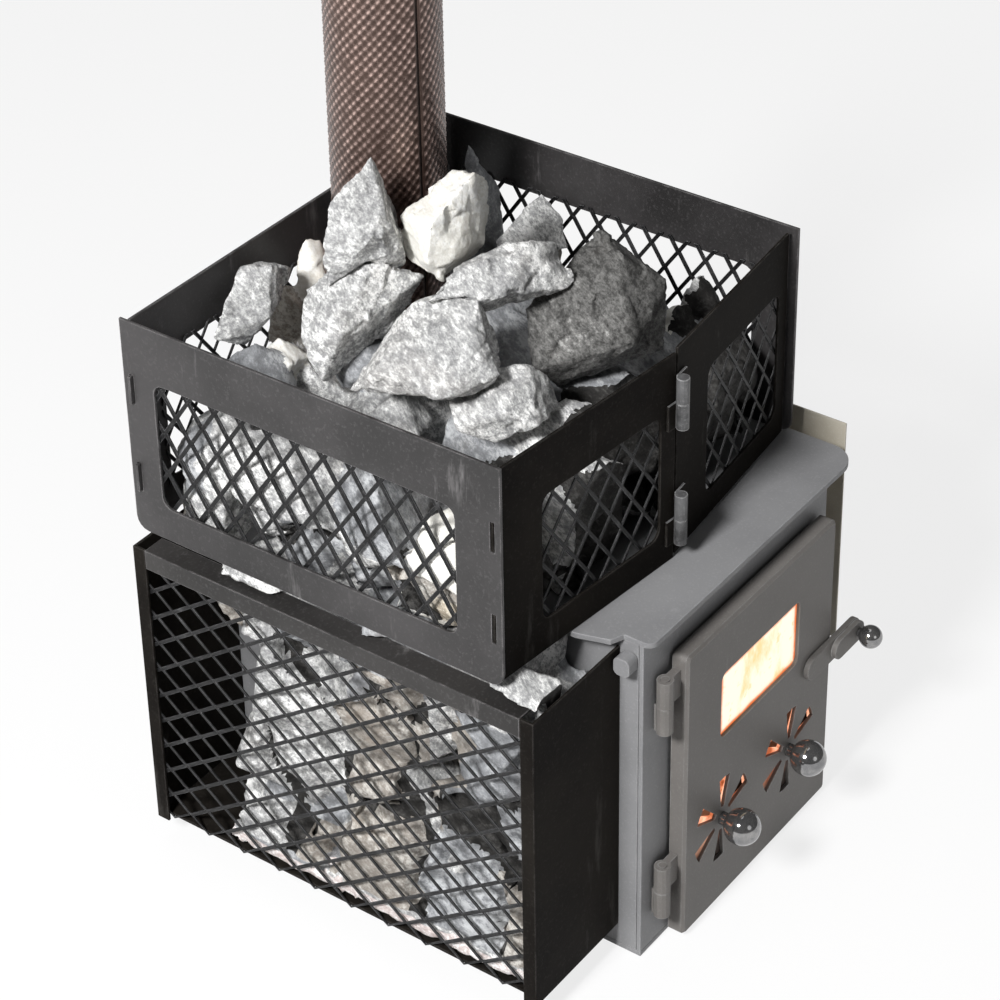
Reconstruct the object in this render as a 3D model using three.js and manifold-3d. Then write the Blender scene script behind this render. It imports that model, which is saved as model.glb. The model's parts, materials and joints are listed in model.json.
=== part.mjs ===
// Wood-burning sauna heater: a welded firebox with a hinged fire door, a stone basket with its own
// door on top, an expanded-metal stone cage on the left and a heat shield on the right.
// Millimetres, +Z up. The origin is on the floor in the flue's centre plane; the front faces -Y.
import * as THREE from 'three';
import { mergeVertices } from 'three/addons/utils/BufferGeometryUtils.js';
import { ConvexGeometry } from 'three/addons/geometries/ConvexGeometry.js';
import Module from 'manifold-3d';

const wasm = await Module();
wasm.setup();

// Clearances
const fit = 0.3; // between pieces that meet or are welded together
const running = 0.4; // round pins, spindles and bores that turn
const roundSteps = 32; // facets of pipes
const smallSteps = 12; // facets of pins and barrels
const ballSteps = 12; // facets of ball knobs
const ballBands = 7;

// Firebox
const fireboxLeft = 178; // sides of the firebox from the flue's centre plane
const fireboxRight = 156;
const fireboxHeight = 392;
const fireboxFront = 287; // face of the front frame, ahead of the flue's centre plane
const fireboxBack = 220;
const wallT = 5;
const floorT = 6;
const topT = 6;
const openingWidth = 232;
const openingHeight = 298;
const openingSill = 30;

// Hood and shoulder of the top plate
const hoodFront = 10;
const hoodLeft = 1;
const hoodRight = 5; // beyond the basket's right side
const hoodLeftRadius = 10;
const hoodRightRadius = 30;
const shoulderLeft = 25;
const shoulderFront = 227; // where the plate steps out to carry the basket
const shoulderTip = [10, 33]; // the step's outer corner is cut back
const shoulderSlant = 6;

// Grate and smoke baffle
const grateDepth = 420;
const grateT = 10;
const grateTop = 46;
const grateSlots = 9;
const grateSlotWidth = 14;
const grateRim = 26;
const baffleT = 4;
const baffleDrop = 48; // below the top plate
const baffleDepth = 320;

// Flue
const flueY = 136;
const pipeDiameter = 112;
const pipeT = 2;
const pipeTop = 1000;
const flueHole = 104;
const collarT = 4;
const collarFlange = 138;
const collarFlangeT = 5;
const collarHeight = 45;
const sleeveT = 2;
const sleeveShort = 12; // bare pipe above the sleeve
const seamWidth = 12;
const seamRise = 1.2;
const seamAngle = -111; // towards the front

// Fire door
const doorWidth = 275;
const doorHeight = 348;
const doorSill = 5;
const doorShift = 3; // door's centre line right of the flue's centre plane
const doorT = 18;
const doorSheet = 4;
const doorRadius = 6;
const doorBevel = 3;
const sealGap = 4; // rope between door and frame
const sealWidth = 9;
const sealInset = 13;
const linerT = 3;
const windowWidth = 146;
const windowHeight = 79;
const windowSill = 214.5;
const windowShift = -3; // from the door's centre line
const windowRadius = 8;
const glassLap = 10;
const glassT = 4;
const retainerLap = 6;
const retainerT = 3;

// Dampers
const damperSpacing = 0.462 * doorWidth;
const damperShift = -6; // from the door's centre line
const damperHeight = 111;
const damperRadius = 0.2 * doorWidth;
const damperT = 3;
const slotCount = 6;
const slotInner = 14;
const slotOuter = damperRadius - 5;
const slotHalfAngle = 11;
const slotPhase = 25;
const damperRestTurn = 9; // the disc stands a little off fully open
const damperBall = 38;
const damperReach = 24; // ball centre ahead of the door's face
const spindleDiameter = 10;
const damperNeck = 14;
const spindleProud = 2; // spindle end behind the disc

// Latch
const latchInset = 43; // spindle from the door's free edge
const latchHeight = 194;
const leverLength = 78;
const leverWidth = 26;
const leverT = 6;
const gripLength = 34;
const gripWidth = 24;
const latchBall = 25;
const latchNeck = 10;
const latchBallReach = 14; // ball centre ahead of the grip
const latchSpindle = 12;
const tongueReach = 37;
const tongueWidth = 14;
const tongueT = 5;
const tongueGap = 0.8;

// Fire door hinges
const hingeX = 21; // axis left of the door's edge
const hingeReach = 10; // axis ahead of the front frame
const hingeDiameter = 17;
const hingePin = 9;
const hingeHalf = 31; // height of each half
const hingeHeights = [45.5, 275.5];
const hingeLeafT = 8;
const pinReach = 32;

// Stone basket
const basketWidth = 505;
const basketShift = -55.5; // basket centre from the flue's centre plane
const basketDepth = 442;
const basketHeight = 241;
const panelT = 3;
const basketLip = 8; // side panels stand this far past front and back
const cornerRadius = 14;
const frontBow = 25; // the front stands out at its hinge
const tabHeight = 31;
const tabRises = [48, 149];
const tabProud = 4;
const tabPlay = 0.8;
const windowCorner = 12;
const sideWindow = { front: 51, back: 37, bottom: 38, top: 61 };
const backWindow = { front: 40, back: 40, bottom: 38, top: 61 };
const fixedWindow = { front: 62, back: 21, bottom: 34, top: 68 };
const basketDoorWindow = { front: 65, back: 18, bottom: 32, top: 63 };

// Basket door and its hinges
const basketHingeX = -52;
const barrelDiameter = 13;
const barrelPin = 7;
const barrelHalf = 28;
const barrelHeights = [20.5, 152.5]; // above the basket's foot
const barrelOff = 1; // barrel clear of the panels
const barrelLeaf = 15;
const barrelLeafT = 2.5;
const fixedDrop = 8; // the front's rim stands below the sides' rim
const basketDoorDrop = 4;
const basketDoorLift = 3;
const basketDoorSplit = 3; // gap between the fixed half and the door
const basketDoorFree = 4.5; // gap at the door's free end

// Expanded metal, long way and short way of its diamonds
const meshLong = 46.5;
const meshShort = 32.6;
const strandWidth = 4.4;
const meshT = 3;
const meshLap = 7;
const meshRim = 4;
const leastOpening = 0.42; // border openings smaller than this share of a diamond stay closed

// Stone cage
const cageProud = 11; // cage ahead of the basket's left side
const cageFront = 261;
const cageBack = 220;
const cageFoot = 31;
const cageDrop = 15.8; // cage's top below the basket's foot
const cageT = 3;
const cageFlange = 15;
const cageFloorRise = 3;
const railLeg = 22;
const railShelf = 26;
const pegWidth = 18;
const pegHeight = 20;
const pegLength = 15;
const pegCorner = 6;
const pegDrop = 2; // peg's top below the cage's top
const pegLead = 2; // peg ahead of the front plate

// Heat shield
const shieldGap = 27; // off the basket's right side
const shieldRise = 13; // above the top plate
const shieldT = 2;
const shieldFoot = 132;
const shieldFront = 268;
const shieldBack = 220;
const bracketWidth = 24;
const bracketT = 3;
const bracketFoot = 165;
const bracketTop = 360;
const bracketY = [-190, 150];

// Stones: places on the floor plan are in shares of one length, like the sizes
const stoneUnit = 100;
const stoneCorners = 12;
const stoneLeast = 0.6; // the nearest corner, as a share of the farthest
const fillCorners = 9;
const bedTop = 132; // fill above the basket's foot
const bedStone = [1.6, 1.6, 1.66].map((share) => share * stoneUnit);
const pileStone = [1.5, 1.6, 1.4].map((share) => share * stoneUnit);
const pileBack = 134; // the pile stops short of the cage's back plate
const pileDip = { width: 82, depth: 56, fall: 40 }; // the pile is lower at its front, beside the firebox
const rubble = [1.2, 1.8, 0.9].map((share) => share * stoneUnit); // smaller stones along the cage's foot
const rubbleBed = [70, 60]; // width and height of their row
const fillPitch = 0.7; // share of a stone's size between neighbours
const wallClear = 2;
const bedStones = [
  { at: [1.56, 1.42], rise: 1.75, size: [0.55, 0.6, 1.5], turn: 92, seed: 27 },
  { at: [1.67, 0.70], rise: 1.66, size: [0.75, 0.84, 0.64], turn: -14, seed: 330 },
  { at: [-1.04, 2.07], rise: 1.50, size: [0.56, 0.58, 0.78], turn: 61, seed: 217 },
  { at: [-1.65, 1.53], rise: 1.34, size: [0.84, 0.6, 0.56], turn: -30, seed: 64 },
  { at: [-0.74, 1.8], rise: 1.9, size: [0.44, 0.5, 0.9], turn: 154, seed: 376 },
  { at: [-1.59, 0.07], rise: 1.30, size: [0.86, 0.7, 0.5], turn: 30, seed: 66 },
  { at: [-0.93, -1.27], rise: 1.26, size: [1.25, 0.7, 0.56], turn: -40, seed: 67 },
  { at: [1.87, -1.26], rise: 1.40, size: [0.5, 0.5, 0.56], turn: 50, seed: 68 },
  { at: [1.24, -1.30], rise: 1.36, size: [0.32, 0.34, 0.5], turn: 10, seed: 71 },
  { at: [-0.36, 0.36], rise: 1.9, size: [0.9, 0.9, 0.9], turn: 15, seed: 69 },
  { at: [-1.24, 0.78], rise: 1.52, size: [0.8, 0.8, 0.7], turn: 40, seed: 72 },
  { at: [-1.96, 1.5], rise: 1.4, size: [0.8, 0.9, 0.7], turn: 25, seed: 70 },
  { at: [1.67, 0.7], rise: 1.3, size: [0.7, 0.7, 0.9], turn: 0, seed: 73 },
];
const topStones = [
  { at: [-1.27, 0.80], rise: 2.08, size: [0.9, 1.32, 1.18], turn: 250, seed: 266 },
  { at: [0.08, -0.99], rise: 2.00, size: [1.29, 1.52, 1.37], turn: 246, seed: 41 },
  { at: [-1.36, -0.99], rise: 1.73, size: [1.08, 1.03, 0.66], turn: 271, seed: 643 },
  { at: [-1.42, -0.30], rise: 2.10, size: [1.47, 1.39, 1.05], turn: 286, seed: 262 },
  { at: [-1.65, 1.95], rise: 2.06, size: [0.58, 1.1, 0.93], turn: 97, seed: 219 },
  { at: [-0.66, -0.44], rise: 2.50, size: [0.73, 1.52, 0.73], turn: 238, seed: 112 },
  { at: [-0.44, 0.27], rise: 2.88, size: [0.75, 1.2, 1.11], turn: 266, seed: 157 },
  { at: [-1.05, 0.81], rise: 2.88, size: [1.1, 0.74, 1.41], turn: 354, seed: 248 },
];

// Finishes
const finishes = {
  paintedPlate: { color: 0x8c8c8e, roughness: 0.55, metalness: 0.35 },
  doorPaint: { color: 0x5f5a55, roughness: 0.55, metalness: 0.3 },
  rawPlate: { color: 0x4a4a4e, roughness: 0.5, metalness: 0.6 },
  blackPlate: { color: 0x1c1c1c, roughness: 0.6, metalness: 0.4 },
  meshSteel: { color: 0x3c3c3e, roughness: 0.45, metalness: 0.7 },
  sleeveSteel: { color: 0x6b4a3c, roughness: 0.35, metalness: 0.8 },
  shieldSheet: { color: 0x8c8778, roughness: 0.5, metalness: 0.5 },
  castIron: { color: 0x2c2b2a, roughness: 0.7, metalness: 0.5 },
  hotGlass: { color: 0xffe9a0, roughness: 0.1, metalness: 0 },
  ropeGrey: { color: 0x8a8781, roughness: 0.95, metalness: 0 },
  ballSteel: { color: 0x2e2e30, roughness: 0.15, metalness: 0.9 },
  granite: { color: 0x8f9092, roughness: 0.9, metalness: 0 },
};

// Solids and geometry
function solidOf(geometry) {
  const bare = geometry.clone();
  bare.deleteAttribute('normal');
  bare.deleteAttribute('uv');
  const merged = mergeVertices(bare, 1e-4);
  const points = merged.attributes.position.array;
  const corners = merged.index.array;
  const kept = [];
  let volume = 0;
  for (let i = 0; i < corners.length; i += 3) {
    const [a, b, c] = [corners[i], corners[i + 1], corners[i + 2]];
    if (a === b || b === c || c === a) continue;
    kept.push(a, b, c);
    const [p, q, r] = [a, b, c].map((k) => new THREE.Vector3().fromArray(points, 3 * k));
    volume += p.dot(q.cross(r));
  }
  if (volume < 0) kept.reverse();
  return new wasm.Manifold(new wasm.Mesh({
    numProp: 3,
    vertProperties: new Float32Array(points),
    triVerts: new Uint32Array(kept),
  }));
}

function geometryOf(solid) {
  const mesh = solid.getMesh();
  const geometry = new THREE.BufferGeometry();
  geometry.setAttribute('position', new THREE.BufferAttribute(mesh.vertProperties, 3));
  geometry.setIndex(new THREE.BufferAttribute(mesh.triVerts, 1));
  return geometry;
}

const without = (solid, ...cutters) => cutters.reduce((left, cutter) => left.subtract(cutter), solid);
const joined = (solid, ...others) => others.reduce((sum, other) => sum.add(other), solid);

function box(low, high) {
  const size = high.map((value, axis) => value - low[axis]);
  const geometry = new THREE.BoxGeometry(...size);
  geometry.translate(...low.map((value, axis) => value + size[axis] / 2));
  return solidOf(geometry);
}

// Flat outlines given thickness between two planes: XY plates rise along Z, XZ plates run along Y
// and YZ plates along X.
function extruded(outlines, plane, from, to, steps) {
  const geometry = new THREE.ExtrudeGeometry(outlines, {
    depth: to - from,
    bevelEnabled: false,
    curveSegments: steps,
  });
  if (plane === 'xy') geometry.translate(0, 0, from);
  if (plane === 'xz') geometry.rotateX(Math.PI / 2).translate(0, to, 0);
  if (plane === 'yz') {
    const turn = new THREE.Matrix4().makeBasis(
      new THREE.Vector3(0, 1, 0), new THREE.Vector3(0, 0, 1), new THREE.Vector3(1, 0, 0));
    geometry.applyMatrix4(turn).translate(from, 0, 0);
  }
  return solidOf(geometry);
}

function plate(outline, plane, from, to, steps = 2) {
  const slab = extruded(new THREE.Shape(outline.getPoints(steps)), plane, from, to, steps);
  if (outline.holes.length === 0) return slab;
  const plugs = outline.holes.map((hole) => new THREE.Shape(hole.getPoints(steps)));
  return slab.subtract(extruded(plugs, plane, from - 1, to + 1, steps));
}

function roundedRect(left, bottom, right, top, radius = 0, path = new THREE.Shape()) {
  if (radius === 0) {
    path.moveTo(left, bottom).lineTo(right, bottom).lineTo(right, top).lineTo(left, top).closePath();
    return path;
  }
  const quarter = Math.PI / 2;
  path.moveTo(left + radius, bottom);
  path.lineTo(right - radius, bottom);
  path.absarc(right - radius, bottom + radius, radius, -quarter, 0);
  path.lineTo(right, top - radius);
  path.absarc(right - radius, top - radius, radius, 0, quarter);
  path.lineTo(left + radius, top);
  path.absarc(left + radius, top - radius, radius, quarter, 2 * quarter);
  path.lineTo(left, bottom + radius);
  path.absarc(left + radius, bottom + radius, radius, 2 * quarter, 3 * quarter);
  return path;
}

// A closed profile of [radius, height] pairs turned about an axis: 'z' stands, 'y' points to the
// front as its height grows, 'x' points to the left.
function turned(profile, axis = 'z', steps = roundSteps) {
  const points = [...profile, profile[0]].map(([radius, height]) => new THREE.Vector2(radius, height));
  const geometry = new THREE.LatheGeometry(points, steps);
  if (axis === 'z') geometry.rotateX(Math.PI / 2);
  if (axis === 'y') geometry.rotateX(Math.PI);
  if (axis === 'x') geometry.rotateZ(Math.PI / 2);
  return solidOf(geometry);
}

const rod = (diameter, from, to, axis, steps = smallSteps) => turned(
  [[0, from], [diameter / 2, from], [diameter / 2, to], [0, to]], axis, steps);
const pipe = (outer, inner, from, to, steps = roundSteps) => turned(
  [[inner / 2, from], [outer / 2, from], [outer / 2, to], [inner / 2, to]], 'z', steps);

function moved(solid, x, y, z) {
  return solidOf(geometryOf(solid).translate(x, y, z));
}

// Ball on a neck that starts at the foot; the ball's centre is ahead of it, a spindle may run behind.
function ballKnob(ball, neck, ahead, foot, spindle = []) {
  const radius = ball / 2;
  const start = Math.asin(neck / ball);
  const profile = [...spindle, [neck / 2, foot]];
  for (let i = 0; i < ballBands; i += 1) {
    const angle = start + ((Math.PI - start) * i) / ballBands;
    profile.push([radius * Math.sin(angle), ahead - radius * Math.cos(angle)]);
  }
  profile.push([0, ahead + radius]);
  return turned(profile, 'y', ballSteps);
}

// Expanded metal
function clipped(polygon, low, high) {
  const edges = [[0, low[0], 1], [0, high[0], -1], [1, low[1], 1], [1, high[1], -1]];
  let points = polygon;
  for (const [axis, limit, sign] of edges) {
    const inside = (p) => sign * (p[axis] - limit) >= 0;
    const next = [];
    points.forEach((p, i) => {
      const q = points[(i + 1) % points.length];
      if (inside(p)) next.push(p);
      if (inside(p) !== inside(q)) {
        const share = (limit - p[axis]) / (q[axis] - p[axis]);
        next.push([p[0] + share * (q[0] - p[0]), p[1] + share * (q[1] - p[1])]);
      }
    });
    points = next;
  }
  return points;
}

function area(polygon) {
  return Math.abs(THREE.ShapeUtils.area(polygon.map(([u, v]) => new THREE.Vector2(u, v))));
}

// Diamonds stagger in columns half a pitch apart. Openings that the border would leave as slivers
// stay closed. A raw foot ends in the points of the lowest whole diamonds.
function expandedSheet(width, height, pitchU, pitchV, rawFoot = false) {
  const [halfU, halfV] = [pitchU / 2, pitchV / 2];
  const side = Math.hypot(halfU, halfV);
  const shrink = 1 - (strandWidth / 2) * side / (halfU * halfV);
  const columns = Math.ceil(width / halfU);
  const startU = (width - columns * halfU) / 2;
  const sheet = new THREE.Shape();
  const footV = rawFoot ? halfV * (2 - shrink) : 0;
  const low = [meshRim, rawFoot ? -pitchV : meshRim];
  const high = [width - meshRim, height - meshRim];
  if (rawFoot) {
    sheet.moveTo(0, footV);
    for (let i = 0; i <= columns; i += 1) {
      const u = startU + i * halfU;
      if (u <= meshRim || u >= width - meshRim) continue;
      sheet.lineTo(u, i % 2 === 0 ? footV : footV - halfV);
    }
    sheet.lineTo(width, footV).lineTo(width, height).lineTo(0, height).closePath();
  } else {
    roundedRect(0, 0, width, height, 0, sheet);
  }
  const whole = 2 * halfU * halfV * shrink * shrink;
  const firstRow = rawFoot ? 0 : -1;
  for (let i = 0; i <= columns; i += 1) {
    for (let row = firstRow; row * pitchV < height + pitchV; row += 1) {
      const u = startU + i * halfU;
      const v = footV + pitchV * row + (i % 2 === 0 ? halfV : 0) + (rawFoot ? halfV * (1 - shrink) : 0);
      if (rawFoot && i % 2 === 1 && row === 0) continue;
      const [du, dv] = [halfU * shrink, halfV * shrink];
      const hole = clipped([[u - du, v], [u, v - dv], [u + du, v], [u, v + dv]], low, high);
      if (hole.length < 3 || area(hole) < leastOpening * whole) continue;
      sheet.holes.push(new THREE.Path(hole.map(([a, b]) => new THREE.Vector2(a, b))));
    }
  }
  return sheet;
}

// Stones
function seeded(seed) {
  let state = seed * 7919 + 17;
  return () => {
    state = (state * 16807) % 2147483647;
    return state / 2147483647;
  };
}

// A broken stone: the hull of points spread round a ball, brought to its three sizes.
function stone(size, turn, seed, corners = stoneCorners) {
  const random = seeded(seed);
  const golden = Math.PI * (3 - Math.sqrt(5));
  const points = [];
  for (let i = 0; i < corners; i += 1) {
    const height = 1 - (2 * (i + 0.5)) / corners;
    const reach = Math.sqrt(1 - height * height);
    const angle = golden * i + 1.1 * random();
    const radius = stoneLeast + (1 - stoneLeast) * random();
    points.push(new THREE.Vector3(reach * Math.cos(angle), reach * Math.sin(angle), height).multiplyScalar(radius));
  }
  const geometry = new ConvexGeometry(points);
  geometry.center();
  geometry.computeBoundingBox();
  const spread = geometry.boundingBox.getSize(new THREE.Vector3());
  geometry.scale(size[0] / spread.x, size[1] / spread.y, size[2] / spread.z);
  geometry.rotateZ(THREE.MathUtils.degToRad(turn));
  return geometry;
}

// Lowers a stone from above until it nearly touches what lies below it.
function settle(geometry, x, y, from, ground) {
  const clear = (z) => ground.intersect(solidOf(geometry.clone().translate(x, y, z))).isEmpty();
  const coarse = 8;
  let high = from;
  while (clear(high - coarse)) high -= coarse;
  let low = high - coarse;
  while (high - low > fit / 4) {
    const middle = (high + low) / 2;
    if (clear(middle)) high = middle;
    else low = middle;
  }
  return high + fit;
}

// Scene graph
const stove = new THREE.Group();

function add(name, solid, finish, parent = stove) {
  const geometry = geometryOf(solid);
  geometry.computeVertexNormals();
  const mesh = new THREE.Mesh(geometry, new THREE.MeshStandardMaterial(finishes[finish]));
  mesh.name = name;
  parent.add(mesh);
  return mesh;
}

// Firebox
const [innerLeft, innerRight] = [-fireboxLeft + wallT + fit, fireboxRight - wallT - fit];
const plateFoot = floorT + fit;
const topFoot = fireboxHeight - topT;
const plateHead = topFoot - fit;
const frameBack = -fireboxFront + wallT;

function buildFirebox() {
  add('floor_plate', box([-fireboxLeft, -fireboxFront, 0], [fireboxRight, fireboxBack, floorT]), 'paintedPlate');
  for (const [name, face] of [['left_wall', -fireboxLeft], ['right_wall', fireboxRight - wallT]]) {
    const wall = box([face, frameBack + fit, plateFoot], [face + wallT, fireboxBack, plateHead]);
    add(name, wall, 'paintedPlate');
  }
  const back = box([innerLeft, fireboxBack - wallT, plateFoot], [innerRight, fireboxBack, plateHead]);
  add('back_wall', back, 'paintedPlate');

  const frame = roundedRect(-fireboxLeft, plateFoot, fireboxRight, plateHead);
  const mouth = roundedRect(doorShift - openingWidth / 2, openingSill, doorShift + openingWidth / 2,
    openingSill + openingHeight, 0, new THREE.Path());
  frame.holes.push(mouth);
  add('front_frame', plate(frame, 'xz', -fireboxFront, frameBack), 'paintedPlate');

  const hood = new THREE.Shape();
  const hoodY = -fireboxFront - hoodFront;
  const [leftX, rightX] = [-fireboxLeft - hoodLeft, basketX[1] + hoodRight];
  hood.moveTo(leftX + hoodLeftRadius, hoodY);
  hood.lineTo(rightX - hoodRightRadius, hoodY);
  hood.absarc(rightX - hoodRightRadius, hoodY + hoodRightRadius, hoodRightRadius, -Math.PI / 2, 0);
  hood.lineTo(rightX, fireboxBack);
  hood.lineTo(-fireboxLeft - shoulderLeft, fireboxBack);
  hood.lineTo(-fireboxLeft - shoulderLeft, -shoulderFront);
  hood.lineTo(-fireboxLeft - shoulderLeft + shoulderTip[0], -shoulderFront - shoulderTip[1]);
  hood.lineTo(leftX, -shoulderFront - shoulderTip[1] - shoulderSlant);
  hood.lineTo(leftX, hoodY + hoodLeftRadius);
  hood.absarc(leftX + hoodLeftRadius, hoodY + hoodLeftRadius, hoodLeftRadius, Math.PI, 1.5 * Math.PI);
  const flue = moved(rod(flueHole, topFoot - topT, fireboxHeight + topT, 'z', roundSteps), 0, flueY, 0);
  add('top_plate', without(plate(hood, 'xy', topFoot, fireboxHeight, 6), flue), 'paintedPlate');

  // The grate rests between the side walls.
  const grateLength = innerRight - innerLeft - 2 * fit;
  const grate = roundedRect(innerLeft + fit, -grateDepth / 2, innerRight - fit, grateDepth / 2);
  const pitch = (grateLength - 2 * grateRim) / grateSlots;
  for (let i = 0; i < grateSlots; i += 1) {
    const x = innerLeft + fit + grateRim + pitch * (i + 0.5);
    grate.holes.push(roundedRect(x - grateSlotWidth / 2, -grateDepth / 2 + grateRim,
      x + grateSlotWidth / 2, grateDepth / 2 - grateRim, 0, new THREE.Path()));
  }
  const middle = (fireboxBack - fireboxFront) / 2;
  add('fire_grate', plate(grate, 'xy', grateTop - grateT, grateTop), 'castIron').position.y = middle;

  const baffleBack = fireboxBack - wallT - fit;
  const baffleTop = topFoot - baffleDrop;
  const baffle = box([innerLeft, baffleBack - baffleDepth, baffleTop - baffleT],
    [innerRight, baffleBack, baffleTop]);
  add('smoke_baffle', baffle, 'castIron');
}

// Flue
const hoodTop = fireboxHeight + fit;
const sleeveInner = pipeDiameter + 2 * running;
const sleeveOuter = sleeveInner + 2 * sleeveT;

function buildFlue() {
  const flue = new THREE.Group();
  flue.position.set(0, flueY, hoodTop);
  stove.add(flue);
  const rise = pipeTop - hoodTop;
  const bore = pipeDiameter - 2 * pipeT;
  add('flue_pipe', pipe(pipeDiameter, bore, 0, rise), 'rawPlate', flue);
  const neckInner = pipeDiameter / 2 + running;
  const collar = turned([
    [neckInner, 0], [collarFlange / 2, 0], [collarFlange / 2, collarFlangeT],
    [neckInner + collarT, collarFlangeT], [neckInner + collarT, collarHeight], [neckInner, collarHeight],
  ]);
  add('flue_collar', collar, 'castIron', flue);

  // The sleeve is a rolled sheet: its outline swells where the edges lap.
  const outline = new THREE.Shape();
  const lap = seamWidth / (sleeveOuter / 2);
  const start = THREE.MathUtils.degToRad(seamAngle);
  const steps = roundSteps;
  const at = (radius, angle) => [radius * Math.cos(angle), radius * Math.sin(angle)];
  outline.moveTo(...at(sleeveOuter / 2 + seamRise, start));
  outline.lineTo(...at(sleeveOuter / 2 + seamRise, start + lap / 2));
  outline.lineTo(...at(sleeveOuter / 2 + seamRise, start + lap));
  for (let i = 0; i <= steps; i += 1) {
    outline.lineTo(...at(sleeveOuter / 2, start + lap + ((2 * Math.PI - lap) * i) / steps));
  }
  outline.closePath();
  const hole = new THREE.Path();
  for (let i = 0; i < steps; i += 1) {
    const corner = at(sleeveInner / 2 / Math.cos(Math.PI / steps), (2 * Math.PI * i) / steps);
    if (i === 0) hole.moveTo(...corner);
    else hole.lineTo(...corner);
  }
  hole.closePath();
  outline.holes.push(hole);
  const sleeve = plate(outline, 'xy', collarHeight + fit, rise - sleeveShort);
  add('pipe_sleeve', sleeve, 'sleeveSteel', flue);
}

// Fire door
const doorFace = -fireboxFront - sealGap - doorT;
const doorBack = -fireboxFront - sealGap;
const [doorLeft, doorRight] = [doorShift - doorWidth / 2, doorShift + doorWidth / 2];
const hingeAxis = [doorLeft - hingeX, -fireboxFront - hingeReach];
const doorTop = doorSill + doorHeight;
const liningBack = doorBack;
const liningFront = doorBack - linerT;
const sheetBack = doorFace + doorSheet;
const damperX = [-1, 1].map((side) => doorShift + damperShift + (side * damperSpacing) / 2);
const windowX = [-1, 1].map((side) => doorShift + windowShift + (side * windowWidth) / 2);
const latchX = doorRight - latchInset;
const windowZ = [windowSill, windowSill + windowHeight];

function rosette(outer, inner, phase) {
  const slots = [];
  const half = THREE.MathUtils.degToRad(slotHalfAngle);
  for (let i = 0; i < slotCount; i += 1) {
    const middle = THREE.MathUtils.degToRad(phase) + (2 * Math.PI * i) / slotCount;
    const corners = [[inner, half], [inner, -half], [outer, -half], [outer, 0], [outer, half]];
    slots.push(new THREE.Shape(corners.map(([radius, off]) => new THREE.Vector2(
      radius * Math.cos(middle + off), radius * Math.sin(middle + off)))));
  }
  return slots;
}

function windowFrame(outerLap, innerLap, from, to) {
  const outline = roundedRect(windowX[0] - outerLap, windowZ[0] - outerLap,
    windowX[1] + outerLap, windowZ[1] + outerLap);
  if (innerLap !== null) {
    outline.holes.push(roundedRect(windowX[0] - innerLap, windowZ[0] - innerLap,
      windowX[1] + innerLap, windowZ[1] + innerLap, 0, new THREE.Path()));
  }
  return plate(outline, 'xz', from, to);
}

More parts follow.
